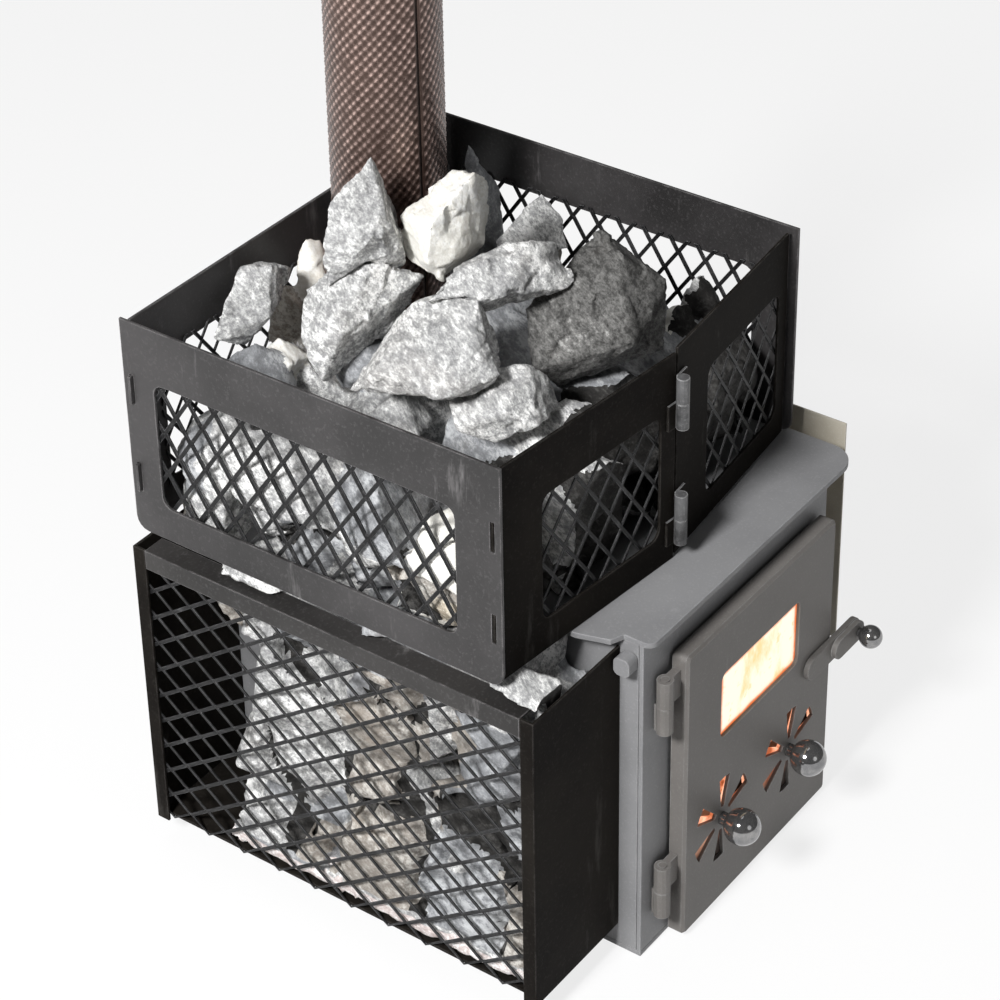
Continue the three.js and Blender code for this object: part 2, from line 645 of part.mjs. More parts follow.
function buildFireDoor() {
  const door = new THREE.Group();
  door.position.set(...hingeAxis, 0);
  stove.add(door);
  const hang = (name, solid, finish) => {
    add(name, solid, finish, door).position.set(-hingeAxis[0], -hingeAxis[1], 0);
  };

  // Pressed tray with bevelled front edges, open to the back.
  const face = roundedRect(doorLeft + doorBevel, doorSill + doorBevel,
    doorRight - doorBevel, doorTop - doorBevel, doorRadius - doorBevel);
  const block = new THREE.ExtrudeGeometry(face, {
    depth: 2 * doorT, bevelSize: doorBevel, bevelThickness: doorBevel, bevelSegments: 1, curveSegments: 3,
  });
  block.rotateX(Math.PI / 2).translate(0, doorFace + doorBevel + 2 * doorT, 0);
  const rim = doorSheet;
  const behind = box([doorLeft - rim, doorBack, 0], [doorRight + rim, doorBack + 3 * doorT, doorTop + rim]);
  const hollow = box([doorLeft + rim, sheetBack, doorSill + rim], [doorRight - rim, doorBack + doorT, doorTop - rim]);
  const cutFrom = doorFace - doorT;
  const cutters = [behind, hollow];
  cutters.push(plate(roundedRect(windowX[0], windowZ[0], windowX[1], windowZ[1], windowRadius),
    'xz', cutFrom, doorBack));
  for (const x of damperX) {
    for (const slot of rosette(slotOuter, slotInner, slotPhase)) {
      cutters.push(moved(plate(slot, 'xz', cutFrom, doorBack), x, 0, damperHeight));
    }
    const hole = rod(spindleDiameter + 2 * running, -doorBack, -cutFrom, 'y');
    cutters.push(moved(hole, x, 0, damperHeight));
  }
  const latchHole = rod(latchSpindle + 2 * running, -doorBack - doorT, -cutFrom, 'y');
  cutters.push(moved(latchHole, latchX, 0, latchHeight));
  hang('door_shell', without(solidOf(block), ...cutters), 'doorPaint');

  // Liner plate that closes the tray, open behind the window and the dampers.
  const play = rim + fit;
  const lining = roundedRect(doorLeft + play, doorSill + play, doorRight - play, doorTop - play);
  lining.holes.push(roundedRect(windowX[0], windowZ[0], windowX[1], windowZ[1], windowRadius, new THREE.Path()));
  for (const x of damperX) {
    lining.holes.push(new THREE.Path().absarc(x, damperHeight, slotOuter, 0, 2 * Math.PI));
  }
  lining.holes.push(new THREE.Path().absarc(latchX, latchHeight, latchSpindle / 2 + running, 0, 2 * Math.PI));
  hang('door_liner', plate(lining, 'xz', liningFront, liningBack, 5), 'castIron');

  hang('window_glass', windowFrame(glassLap, null, sheetBack + fit, sheetBack + fit + glassT), 'hotGlass');
  const retainerFront = sheetBack + glassT + 2 * fit;
  hang('glass_retainer', windowFrame(glassLap + retainerLap, 0, retainerFront, retainerFront + retainerT), 'rawPlate');

  const seal = roundedRect(doorLeft + sealInset, doorSill + sealInset, doorRight - sealInset, doorTop - sealInset, 8);
  const sealIn = sealInset + sealWidth;
  seal.holes.push(roundedRect(doorLeft + sealIn, doorSill + sealIn, doorRight - sealIn, doorTop - sealIn, 4,
    new THREE.Path()));
  hang('door_rope_seal', plate(seal, 'xz', doorBack + fit, -fireboxFront - fit, 3), 'ropeGrey');

  // Lift-off hinges: the frame's half carries the pin, the door's half drops over it.
  hingeHeights.forEach((foot, i) => {
    const name = ['lower', 'upper'][i];
    const middle = foot + hingeHalf;
    const head = middle + fit + hingeHalf;
    const lug = box([-hingeLeafT / 2, 0, foot], [hingeLeafT / 2, hingeReach - fit, middle]);
    const pin = rod(hingePin, foot + hingeHalf / 2, middle + pinReach, 'z');
    const frameHalf = joined(rod(hingeDiameter, foot, middle, 'z'), lug, pin);
    add(`door_hinge_${name}_pin_half`, frameHalf, 'paintedPlate').position.set(...hingeAxis, 0);
    const leaf = box([0, -hingeLeafT / 2, middle + fit], [hingeX - fit, hingeLeafT / 2, head]);
    const bore = rod(hingePin + 2 * running, foot, middle + pinReach + fit, 'z');
    const doorHalf = without(joined(rod(hingeDiameter, middle + fit, head, 'z'), leaf), bore);
    add(`door_hinge_${name}_door_half`, doorHalf, 'doorPaint', door);
  });

  buildDampers(door);
  buildLatch(door);
}

function buildDampers(door) {
  damperX.forEach((x, i) => {
    const name = ['left', 'right'][i];
    const damper = new THREE.Group();
    damper.position.set(x - hingeAxis[0], doorFace - hingeAxis[1], damperHeight);
    door.add(damper);
    const disc = new THREE.Shape().absarc(0, 0, damperRadius, 0, 2 * Math.PI);
    const hub = spindleDiameter / 2 + fit;
    disc.holes.push(new THREE.Path().absarc(0, 0, hub, 0, 2 * Math.PI));
    for (const slot of rosette(slotOuter, slotInner, slotPhase - damperRestTurn)) disc.holes.push(slot);
    const from = doorSheet + fit;
    add(`damper_disc_${name}`, plate(disc, 'xz', from, from + damperT, 12), 'castIron', damper);
    const [behind, thick] = [-from - damperT - spindleProud, spindleDiameter / 2];
    const knob = ballKnob(damperBall, damperNeck, damperReach, fit, [[0, behind], [thick, behind], [thick, fit]]);
    add(`damper_knob_${name}`, knob, 'ballSteel', damper);
  });
}

function capsule(length, width) {
  const outline = new THREE.Shape();
  outline.absarc(0, 0, width / 2, Math.PI / 2, 1.5 * Math.PI);
  outline.lineTo(length, -width / 2);
  outline.absarc(length, 0, width / 2, -Math.PI / 2, Math.PI / 2);
  outline.closePath();
  return outline;
}

function buildLatch(door) {
  const latch = new THREE.Group();
  latch.position.set(latchX - hingeAxis[0], doorFace - hingeAxis[1], latchHeight);
  door.add(latch);
  const tongueFront = frameBack + tongueGap - doorFace;
  const lever = plate(capsule(leverLength, leverWidth), 'xz', -fit - leverT, -fit, 6);
  const grip = plate(capsule(gripLength, gripWidth), 'xz', -fit - 2 * leverT, -fit - leverT / 2, 6);
  const spindle = rod(latchSpindle, -tongueFront - tongueT - 2, leverT / 2, 'y');
  const onGrip = moved(grip, leverLength - gripLength, 0, 0);
  add('latch_lever', joined(lever, onGrip, spindle), 'rawPlate', latch);
  const knob = ballKnob(latchBall, latchNeck, latchBallReach, 0, [[0, 0]]);
  add('latch_knob', knob, 'ballSteel', latch).position.set(leverLength, -2 * leverT - 2 * fit, 0);
  const tongue = without(
    plate(roundedRect(-tongueWidth / 2, -tongueReach, tongueWidth / 2, tongueWidth / 2 + 2),
      'xz', tongueFront, tongueFront + tongueT),
    rod(latchSpindle + 2 * fit, -tongueFront - 2 * tongueT, 0, 'y'));
  add('latch_tongue', tongue, 'rawPlate', latch);
}

// Stone basket
const basketFoot = hoodTop;
const basketHead = basketFoot + basketHeight;
const basketX = [basketShift - basketWidth / 2, basketShift + basketWidth / 2];
const endFace = basketDepth / 2 - basketLip; // outer face of front and back panels
const inside = [basketX[0] + panelT + fit, basketX[1] - panelT - fit];
const slotPlay = panelT + 2 * tabPlay;

function windowHole(low, high, margins) {
  return roundedRect(low + margins.front, margins.bottom, high - margins.back, basketHeight - margins.top,
    windowCorner, new THREE.Path());
}

function sheetBehind(low, high, margins, place) {
  const width = high - low - margins.front - margins.back + 2 * meshLap;
  const height = basketHeight - margins.bottom - margins.top + 2 * meshLap;
  const sheet = expandedSheet(width, height, meshShort, meshLong);
  return place(sheet, low + margins.front - meshLap, margins.bottom - meshLap);
}

function buildBasket() {
  const basket = new THREE.Group();
  basket.position.z = basketFoot;
  stove.add(basket);
  const half = basketDepth / 2;

  // Side panels, with slots for the tabs of the front and back panels.
  for (const [name, side] of [['left', 0], ['right', 1]]) {
    const outline = roundedRect(-half, 0, half, basketHeight, 0);
    outline.holes.push(windowHole(-half, half, sideWindow));
    const slotEnds = side === 0 ? [-endFace + panelT / 2, endFace - panelT / 2] : [endFace - panelT / 2];
    for (const y of slotEnds) {
      for (const rise of tabRises) {
        outline.holes.push(roundedRect(y - slotPlay / 2, rise - tabPlay, y + slotPlay / 2,
          rise + tabHeight + tabPlay, 0, new THREE.Path()));
      }
    }
    const from = side === 0 ? basketX[0] : basketX[1] - panelT;
    const blank = roundedRect(-half, 0, half, 2 * basketHeight, cornerRadius);
    const panel = plate(outline, 'yz', from, from + panelT).intersect(plate(blank, 'yz', from - 1, from + panelT + 1));
    add(`basket_${name}_panel`, panel, 'rawPlate', basket);
    const meshFrom = side === 0 ? inside[0] : inside[1] - meshT;
    const sheet = sheetBehind(-half, half, sideWindow, (shape, u, v) => {
      const flat = plate(shape, 'yz', meshFrom, meshFrom + meshT);
      return moved(flat, 0, u, v);
    });
    add(`basket_${name}_mesh`, sheet, 'meshSteel', basket);
  }

  // Back panel: its tabs pass through the side panels and stand proud.
  const back = roundedRect(inside[0], 0, inside[1], basketHeight);
  back.holes.push(windowHole(inside[0], inside[1], backWindow));
  const tabs = tabRises.map((rise) => plate(
    roundedRect(basketX[0] - tabProud, rise, basketX[1] + tabProud, rise + tabHeight), 'xz', endFace - panelT, endFace));
  const window = plate(roundedRect(inside[0] + panelT, 0, inside[1] - panelT, basketHeight),
    'xz', endFace - panelT - 1, endFace + 1);
  const ears = tabs.map((tab) => tab.subtract(window));
  add('basket_back_panel', joined(plate(back, 'xz', endFace - panelT, endFace), ...ears), 'rawPlate', basket);
  const backMesh = sheetBehind(inside[0], inside[1], backWindow, (shape, u, v) => {
    const flat = plate(shape, 'xz', endFace - panelT - fit - meshT, endFace - panelT - fit);
    return moved(flat, u, 0, v);
  });
  add('basket_back_mesh', backMesh, 'meshSteel', basket);
  buildBasketFront();
}

// The front is two plates that meet at a hinge and bow out towards it.
const barrelStand = barrelDiameter / 2 + barrelOff;
const basketAxis = [basketHingeX, -endFace - frontBow - barrelStand];

function buildBasketFront() {
  const fixedTurn = Math.atan2(frontBow, basketHingeX - inside[0]);
  const doorTurn = Math.atan2(frontBow, inside[1] - basketHingeX);
  const fixed = new THREE.Group();
  fixed.position.set(...basketAxis, basketFoot);
  fixed.rotation.z = -fixedTurn;
  const door = new THREE.Group();
  door.position.set(...basketAxis, basketFoot);
  door.rotation.z = doorTurn;
  stove.add(fixed, door);

  const fixedFace = barrelStand * Math.cos(fixedTurn);
  const fixedEnd = -(basketHingeX - inside[0] - tabPlay + barrelStand * Math.sin(fixedTurn)) / Math.cos(fixedTurn);
  const fixedStart = -basketDoorSplit / 2;
  const panel = roundedRect(fixedEnd, 0, fixedStart, basketHeight - fixedDrop);
  panel.holes.push(windowHole(fixedEnd, fixedStart, fixedWindow));
  const tabs = tabRises.map((rise) => plate(
    roundedRect(fixedEnd - panelT - tabPlay, rise, fixedEnd + panelT, rise + tabHeight),
    'xz', fixedFace, fixedFace + panelT));
  add('basket_front_panel', joined(plate(panel, 'xz', fixedFace, fixedFace + panelT), ...tabs), 'blackPlate', fixed);
  const meshFrom = fixedFace + panelT + fit;
  const fixedMesh = sheetBehind(fixedEnd, fixedStart, fixedWindow, (shape, u, v) => moved(
    plate(shape, 'xz', meshFrom, meshFrom + meshT), u, 0, v));
  add('basket_front_mesh', fixedMesh, 'meshSteel', fixed);

  const doorFaceY = barrelStand * Math.cos(doorTurn);
  const doorStart = basketDoorSplit / 2 + 2 * barrelStand * Math.sin(doorTurn);
  const doorEnd = (inside[1] - basketDoorFree - basketHingeX) / Math.cos(doorTurn);
  const leafOutline = new THREE.Shape();
  roundedRect(doorStart, basketDoorLift, doorEnd, basketHeight - basketDoorDrop, 0, leafOutline);
  leafOutline.holes.push(windowHole(doorStart, doorEnd, basketDoorWindow));
  add('basket_door_panel', plate(leafOutline, 'xz', doorFaceY, doorFaceY + panelT), 'blackPlate', door);
  const doorMeshFrom = doorFaceY + panelT + fit;
  const doorMesh = sheetBehind(doorStart, doorEnd, basketDoorWindow, (shape, u, v) => moved(
    plate(shape, 'xz', doorMeshFrom, doorMeshFrom + meshT), u, 0, v));
  add('basket_door_mesh', doorMesh, 'meshSteel', door);

  barrelHeights.forEach((foot, i) => {
    const name = ['lower', 'upper'][i];
    const middle = foot + barrelHalf;
    const head = middle + fit + barrelHalf;
    const pin = rod(barrelPin, foot + barrelHalf / 2, head - fit - barrelHalf / 4, 'z');
    const fixedLeaf = box([-barrelLeaf, fixedFace - fit - barrelLeafT, foot], [0, fixedFace - fit, middle]);
    const lower = joined(rod(barrelDiameter, foot, middle, 'z'), fixedLeaf, pin);
    add(`basket_hinge_${name}_pin_half`, lower, 'rawPlate', fixed);
    const doorLeaf = box([0, doorFaceY - fit - barrelLeafT, middle + fit], [barrelLeaf + doorStart, doorFaceY - fit, head]);
    const bore = rod(barrelPin + 2 * running, foot, head - barrelHalf / 4 + fit, 'z');
    const upper = without(joined(rod(barrelDiameter, middle + fit, head, 'z'), doorLeaf), bore);
    add(`basket_hinge_${name}_door_half`, upper, 'rawPlate', door);
  });
}

// Stone cage
const cageX = basketX[0] - cageProud;
const cageTop = basketFoot - cageDrop;
const cageInner = -fireboxLeft - fit;

function buildCage() {
  const foldedPlate = (name, face, inward) => {
    const outline = new THREE.Shape();
    const corners = [[cageX, face], [cageInner, face], [cageInner, face + inward * cageT],
      [cageX + cageT, face + inward * cageT], [cageX + cageT, face + inward * cageFlange],
      [cageX, face + inward * cageFlange]];
    corners.forEach(([x, y], i) => (i === 0 ? outline.moveTo(x, y) : outline.lineTo(x, y)));
    outline.closePath();
    add(name, plate(outline, 'xy', cageFoot, cageTop), 'blackPlate');
  };
  foldedPlate('cage_front_plate', -cageFront, 1);
  foldedPlate('cage_back_plate', cageBack, -1);

  const [front, back] = [-cageFront + cageT + fit, cageBack - cageT - fit];
  const meshOuter = cageX + cageT + fit;
  const floorFoot = cageFoot + cageFloorRise;
  const floor = box([meshOuter + meshT + fit, front, floorFoot], [cageInner, back, floorFoot + cageT]);
  add('cage_floor', floor, 'blackPlate');

  const sheet = expandedSheet(back - front, cageTop - cageT - fit - cageFoot, meshLong, meshShort, true);
  const side = moved(plate(sheet, 'yz', meshOuter, meshOuter + meshT), 0, front, cageFoot);
  add('cage_mesh', side, 'meshSteel');

  const rail = new THREE.Shape();
  rail.moveTo(cageX, cageTop - railLeg).lineTo(cageX + cageT, cageTop - railLeg);
  rail.lineTo(cageX + cageT, cageTop - cageT).lineTo(cageX + railShelf, cageTop - cageT);
  rail.lineTo(cageX + railShelf, cageTop).lineTo(cageX, cageTop).closePath();
  const angle = plate(rail, 'xz', -cageFront + cageFlange + fit, cageBack - cageFlange - fit);
  add('cage_top_rail', angle, 'rawPlate');

  const pegY = -cageFront - pegLead - pegWidth;
  const pegTop = cageTop - pegDrop;
  const pegFace = roundedRect(pegY, pegTop - pegHeight, pegY + pegWidth, pegTop, pegCorner);
  add('cage_peg', plate(pegFace, 'yz', cageInner - pegLength, cageInner), 'paintedPlate');
}

// Heat shield on the right, stood off the wall by two channels.
function buildShield() {
  const shieldX = basketX[1] + shieldGap;
  const sheet = box([shieldX, -shieldFront, shieldFoot], [shieldX + shieldT, shieldBack,
    fireboxHeight + shieldRise]);
  add('heat_shield', sheet, 'shieldSheet');
  bracketY.forEach((y, i) => {
    const channel = new THREE.Shape();
    const [near, far] = [fireboxRight + fit, shieldX - fit];
    const [low, high] = [y - bracketWidth / 2, y + bracketWidth / 2];
    channel.moveTo(near, low).lineTo(far, low).lineTo(far, high).lineTo(near, high);
    channel.lineTo(near, high - bracketT).lineTo(far - bracketT, high - bracketT);
    channel.lineTo(far - bracketT, low + bracketT).lineTo(near, low + bracketT).closePath();
    add(`shield_bracket_${['front', 'rear'][i]}`, plate(channel, 'xy', bracketFoot, bracketTop), 'shieldSheet');
  });
}

// The biggest of the bodies that a cut leaves.
function biggest(solid) {
  return solid.decompose().reduce((best, body) => (body.volume() > best.volume() ? body : best));
}

// A fill of stones on a grid, joined where they press together and cut to the space that holds them.
function heap(low, high, size, seed) {
  const counts = size.map((length, axis) => Math.max(1, Math.round((high[axis] - low[axis]) / (fillPitch * length))));
  const random = seeded(seed);
  let fill = null;
  for (let k = 0; k < counts[2]; k += 1) {
    for (let j = 0; j < counts[1]; j += 1) {
      for (let i = 0; i < counts[0]; i += 1) {
        const place = [i, j, k].map((index, axis) => {
          const pitch = (high[axis] - low[axis]) / counts[axis];
          return low[axis] + pitch * (index + 0.5);
        });
        const grown = size.map((length) => length * (0.94 + 0.2 * random()));
        const rock = stone(grown, 360 * random(), seed + i + 7 * j + 31 * k, fillCorners);
        const solid = solidOf(rock.translate(...place));
        fill = fill === null ? solid : fill.add(solid);
      }
    }
  }
  return fill.intersect(box(low, high));
}

function buildStones() {
  const meshDepth = meshT + fit + wallClear;
  const low = [inside[0] + meshDepth, -endFace + panelT + meshDepth, basketFoot];
  const high = [inside[1] - meshDepth, endFace - panelT - meshDepth, basketFoot + bedTop];
  const overCollar = rod(collarFlange + 2 * wallClear, 0, hoodTop + collarHeight, 'z', roundSteps);
  const overSleeve = rod(sleeveOuter + 2 * (seamRise + wallClear), 0, 2 * pipeTop, 'z', roundSteps);
  const flue = moved(joined(overCollar, overSleeve), 0, flueY, 0);
  const sized = (shares) => shares.map((share) => share * stoneUnit);
  const laid = ({ at, size, turn, seed }) => {
    const rock = stone(sized(size), turn, seed);
    rock.computeBoundingBox();
    const { min, max } = rock.boundingBox;
    const [x, y] = sized(at);
    return {
      rock,
      x: THREE.MathUtils.clamp(x, low[0] - min.x, high[0] - max.x),
      y: THREE.MathUtils.clamp(y, low[1] - min.y, high[1] - max.y),
    };
  };

  // The bed: a fill, and stones on it that lean on the sides.
  let bed = heap(low, high, bedStone, 3);
  for (const entry of bedStones) {
    const { rock, x, y } = laid(entry);
    bed = bed.add(solidOf(rock.translate(x, y, basketFoot + entry.rise * stoneUnit)));
  }
  bed = biggest(bed.subtract(flue));
  add('basket_stone_bed', bed, 'granite');

  const pileLow = [cageX + cageT + fit + meshDepth, -cageFront + cageT + wallClear, cageFoot + cageFloorRise + cageT + fit];
  const pileHigh = [cageInner - wallClear, pileBack, basketFoot - wallClear];
  const shoulder = box([-fireboxLeft - shoulderLeft - wallClear, -cageFront, topFoot - wallClear], [0, cageBack, basketFoot]);
  const rail = box([cageX, -cageFront, cageTop - railLeg - wallClear],
    [cageX + railShelf + wallClear, cageBack, cageTop + wallClear]);
  const dip = box([cageInner - pileDip.width, -cageFront, cageTop - pileDip.fall],
    [cageInner, -cageFront + pileDip.depth, basketFoot]);
  const rowHigh = [pileLow[0] + rubbleBed[0], pileHigh[1], pileLow[2] + rubbleBed[1]];
  const stones = joined(heap(pileLow, pileHigh, pileStone, 5), heap(pileLow, rowHigh, rubble, 9));
  const pile = stones.subtract(shoulder).subtract(rail).subtract(dip);
  add('cage_stone_pile', biggest(pile), 'granite');

  // The stones that show on top are laid one by one, each cut underneath to those it is wedged on.
  const footing = box([low[0], low[1], 0], [high[0], high[1], basketFoot]);
  let ground = joined(bed, flue, footing);
  topStones.forEach((entry, i) => {
    const { rock, x, y } = laid(entry);
    const z = Math.min(settle(rock, x, y, pipeTop, ground), basketFoot + entry.rise * stoneUnit);
    const seat = joined(ground, moved(ground, 0, 0, fit));
    const solid = biggest(solidOf(rock.translate(x, y, z)).subtract(seat));
    add(`top_stone_${i + 1}`, solid, 'granite');
    ground = ground.add(solid);
  });
}

buildFirebox();
buildFlue();
buildFireDoor();
buildBasket();
buildCage();
buildShield();
buildStones();

export default stove;
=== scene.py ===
import json
import math
import random

import bmesh
import bpy
from mathutils import Matrix, Vector, noise
from mathutils.bvhtree import BVHTree


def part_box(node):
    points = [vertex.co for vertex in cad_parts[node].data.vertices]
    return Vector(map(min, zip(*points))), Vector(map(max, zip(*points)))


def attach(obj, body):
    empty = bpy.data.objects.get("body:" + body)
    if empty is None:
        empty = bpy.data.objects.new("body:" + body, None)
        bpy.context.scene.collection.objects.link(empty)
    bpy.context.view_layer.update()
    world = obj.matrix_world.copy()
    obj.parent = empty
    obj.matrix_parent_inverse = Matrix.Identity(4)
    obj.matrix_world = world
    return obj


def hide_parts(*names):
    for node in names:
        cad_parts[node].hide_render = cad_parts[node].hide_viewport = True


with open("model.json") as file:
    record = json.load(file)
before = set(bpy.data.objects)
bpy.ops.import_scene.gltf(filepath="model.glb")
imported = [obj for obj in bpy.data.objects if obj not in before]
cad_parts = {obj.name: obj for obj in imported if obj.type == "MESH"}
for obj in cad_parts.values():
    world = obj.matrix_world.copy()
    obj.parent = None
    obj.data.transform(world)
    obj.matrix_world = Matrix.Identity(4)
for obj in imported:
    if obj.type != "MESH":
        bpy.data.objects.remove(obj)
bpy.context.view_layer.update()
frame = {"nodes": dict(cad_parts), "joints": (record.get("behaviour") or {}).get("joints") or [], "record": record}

scene = bpy.context.scene
scene.view_settings.view_transform = "Standard"
nodes = frame["nodes"]
record = frame["record"]
bodyOf = {node: body for body, members in record["behaviour"]["bodies"].items() for node in members}
mm = 0.001

# camera
photoView = {
    "place": (-2.0299, -1.4933, 2.1141),
    "yaw": 53.644,
    "pitch": 30.482,
    "roll": -1.034,
    "lens": 108.058,
    "sensor": 36.0,
    "shiftUp": -0.25,
}


def setCamera(view):
    yaw, pitch, roll = (math.radians(view[key]) for key in ("yaw", "pitch", "roll"))
    back = Vector((-math.sin(yaw) * math.cos(pitch), -math.cos(yaw) * math.cos(pitch), math.sin(pitch)))
    right = (-back).cross(Vector((0, 0, 1))).normalized()
    up = back.cross(right)
    leanRight = math.cos(roll) * right + math.sin(roll) * up
    leanUp = math.cos(roll) * up - math.sin(roll) * right
    data = bpy.data.cameras.new("photo_view")
    data.lens = view["lens"]
    data.sensor_width = view["sensor"]
    data.shift_y = view["shiftUp"]
    data.clip_end = 50
    camera = bpy.data.objects.new("photo_view", data)
    turn = Matrix((leanRight, leanUp, back)).transposed().to_4x4()
    camera.matrix_world = Matrix.Translation(Vector(view["place"])) @ turn
    scene.collection.objects.link(camera)
    scene.camera = camera


setCamera(photoView)
print("camera set")


# shader wiring
class Sock:  # one output socket that can be used in sums
    def __init__(self, tree, socket=None):
        self.tree = tree
        self.socket = socket

    def make(self, kind, settings=None, sockets=None, out=0):
        node = self.tree.nodes.new(kind)
        for key, value in (settings or {}).items():
            if key == "stops":
                ramp = node.color_ramp
                ramp.elements[0].position, ramp.elements[0].color = value[0]
                ramp.elements[1].position, ramp.elements[1].color = value[-1]
                for place, colour in value[1:-1]:
                    ramp.elements.new(place).color = colour
            else:
                setattr(node, key, value)
        for key, value in (sockets or {}).items():
            if isinstance(value, Sock):
                self.tree.links.new(value.socket, node.inputs[key])
            else:
                node.inputs[key].default_value = value
        return Sock(self.tree, node.outputs[out])

    def sum(self, operation, left, right=0.0, third=0.0):
        return self.make("ShaderNodeMath", {"operation": operation}, {0: left, 1: right, 2: third})

    def __add__(self, other):
        return self.sum("ADD", self, other)

    def __radd__(self, other):
        return self.sum("ADD", other, self)

    def __sub__(self, other):
        return self.sum("SUBTRACT", self, other)

    def __rsub__(self, other):
        return self.sum("SUBTRACT", other, self)

    def __mul__(self, other):
        return self.sum("MULTIPLY", self, other)

    def __rmul__(self, other):
        return self.sum("MULTIPLY", other, self)

    def __truediv__(self, other):
        return self.sum("DIVIDE", self, other)

    def __rtruediv__(self, other):
        return self.sum("DIVIDE", other, self)

    def __pow__(self, other):
        return self.sum("POWER", self, other)

    def between(self, low, high):  # 0 below low, 1 above high, smooth on the way
        settings = {"interpolation_type": "SMOOTHSTEP"}
        return self.make("ShaderNodeMapRange", settings, {"Value": self, "From Min": low, "From Max": high})

    def tint(self, dark, light):  # a colour for 0 and a colour for 1
        return self.make("ShaderNodeMix", {"data_type": "RGBA"}, {0: self, 6: (*dark, 1), 7: (*light, 1)}, 2)

    def over(self, under, colour):  # lays a colour over another where this mask is 1
        top = colour if isinstance(colour, Sock) else (*colour, 1)
        return self.make("ShaderNodeMix", {"data_type": "RGBA"}, {0: self, 6: under, 7: top}, 2)


def newFinish(name):
    material = bpy.data.materials.new(name)
    material.use_nodes = True
    tree = material.node_tree
    shader = tree.nodes["Principled BSDF"]
    spot = Sock(tree).make("ShaderNodeTexCoord", out="Object")
    return material, shader, spot


def grain(spot, scale, detail=3.0, roughness=0.55, stretch=None):
    where = spot
    if stretch:
        where = spot.make("ShaderNodeMapping", None, {"Vector": spot, "Scale": stretch})
    sockets = {"Vector": where, "Scale": scale, "Detail": detail, "Roughness": roughness}
    return spot.make("ShaderNodeTexNoise", None, sockets)


def cells(spot, scale, feature="F1", out="Distance"):
    return spot.make("ShaderNodeTexVoronoi", {"feature": feature}, {"Vector": spot, "Scale": scale}, out)


# edge mask used both for worn paint and for a painted highlight along lit edges
def wornEdge(spot, radius):  # 1 along edges, 0 on flats
    geometry = spot.make("ShaderNodeNewGeometry", out="Normal")
    eased = spot.make("ShaderNodeBevel", {"samples": 6}, {"Radius": radius})
    facing = spot.make("ShaderNodeVectorMath", {"operation": "DOT_PRODUCT"}, {0: geometry, 1: eased}, "Value")
    return (1 - facing).between(0.01, 0.12)


def connect(shader, tree, **sockets):
    for key, value in sockets.items():
        name = {"colour": "Base Color", "rough": "Roughness", "metal": "Metallic", "glow": "Emission Color",
                "normal": "Normal", "coat": "Coat Weight"}[key]
        if isinstance(value, Sock):
            tree.links.new(value.socket, shader.inputs[name])
        else:
            shader.inputs[name].default_value = value


def bump(height, distance, strength=1.0):
    return height.make("ShaderNodeBump", None, {"Height": height, "Distance": distance, "Strength": strength})


# finishes
def enamelFinish(name, look):
    material, shader, spot = newFinish(name)
    tree = material.node_tree
    cloud = grain(spot, look["cloudScale"], 5, 0.6)
    speck = grain(spot, look["speckScale"], 2, 0.6)
    colour = cloud.between(0.3, 0.7).tint(look["dark"], look["light"])
    colour = (speck.between(0.52, 0.75) * look["speckShow"]).over(colour, look["dust"])
    scuff = grain(spot, 26, 6, 0.7, (1, 1, 0.18)).between(look["scuffFrom"], look["scuffFrom"] + 0.14)
    colour = (scuff * look["scuffShow"]).over(colour, look["bare"])
    # edges take the lighter colour: partly worn paint, partly a painted highlight along the lit rims
    edge = wornEdge(spot, look["edgeReach"]) * grain(spot, 60, 4).between(0.32, 0.6)
    colour = (edge * look["edgeShow"]).over(colour, look["bare"])
    rough = look["rough"] + 0.16 * (cloud - 0.5) - 0.12 * scuff
    peel = grain(spot, 700, 2) * 0.35 + grain(spot, 38, 3) * 1.0
    connect(shader, tree, colour=colour, rough=rough, normal=bump(peel, look["bumpDepth"], 0.6))
    shader.inputs["Specular IOR Level"].default_value = look["shine"]
    return material


hoodEnamel = {
    "dark": (0.185, 0.185, 0.19), "light": (0.235, 0.235, 0.24), "dust": (0.32, 0.32, 0.32),
    "bare": (0.42, 0.42, 0.42), "cloudScale": 5.0, "speckScale": 420.0, "speckShow": 0.35,
    "scuffFrom": 0.62, "scuffShow": 0.25, "edgeReach": 2.2 * mm, "edgeShow": 0.55,
    "rough": 0.52, "bumpDepth": 0.35 * mm, "shine": 0.3,
}
# the hood's grey paint drawn darker on the front-facing door, latch lever and door hinges: painted shade
doorShadedEnamel = {
    **hoodEnamel, "dark": (0.118, 0.110, 0.103), "light": (0.155, 0.146, 0.138), "dust": (0.22, 0.21, 0.20),
    "bare": (0.34, 0.34, 0.34), "cloudScale": 4.0, "rough": 0.5,
}
# the basket's black paint drawn lighter and greyer on the side and back panels: a painted sheen of the light grazing
# them
basketSheenEnamel = {
    **hoodEnamel, "dark": (0.019, 0.018, 0.018), "light": (0.043, 0.0405, 0.041), "dust": (0.09, 0.086, 0.087),
    "bare": (0.26, 0.25, 0.25), "cloudScale": 7.0, "speckScale": 300.0, "scuffShow": 0.4, "scuffFrom": 0.58,
    "edgeShow": 0.8, "rough": 0.42, "shine": 0.4,
}
blackEnamel = {
    **basketSheenEnamel, "dark": (0.0065, 0.0055, 0.0048), "light": (0.015, 0.013, 0.011), "dust": (0.032, 0.029, 0.026),
    "bare": (0.09, 0.085, 0.08), "scuffShow": 0.25, "rough": 0.6, "shine": 0.03, "edgeShow": 0.6,
}
# on the strands the light edge colour is a painted highlight along their lit edges
strandEnamel = {
    **basketSheenEnamel, "dark": (0.006, 0.006, 0.0063), "light": (0.016, 0.016, 0.0166), "bare": (0.17, 0.17, 0.175),
    "edgeReach": 0.8 * mm, "rough": 0.45, "cloudScale": 20.0, "shine": 0.18,
}
railEnamel = {
    **basketSheenEnamel, "dark": (0.017, 0.016, 0.0155), "light": (0.036, 0.034, 0.033), "shine": 0.25,
}
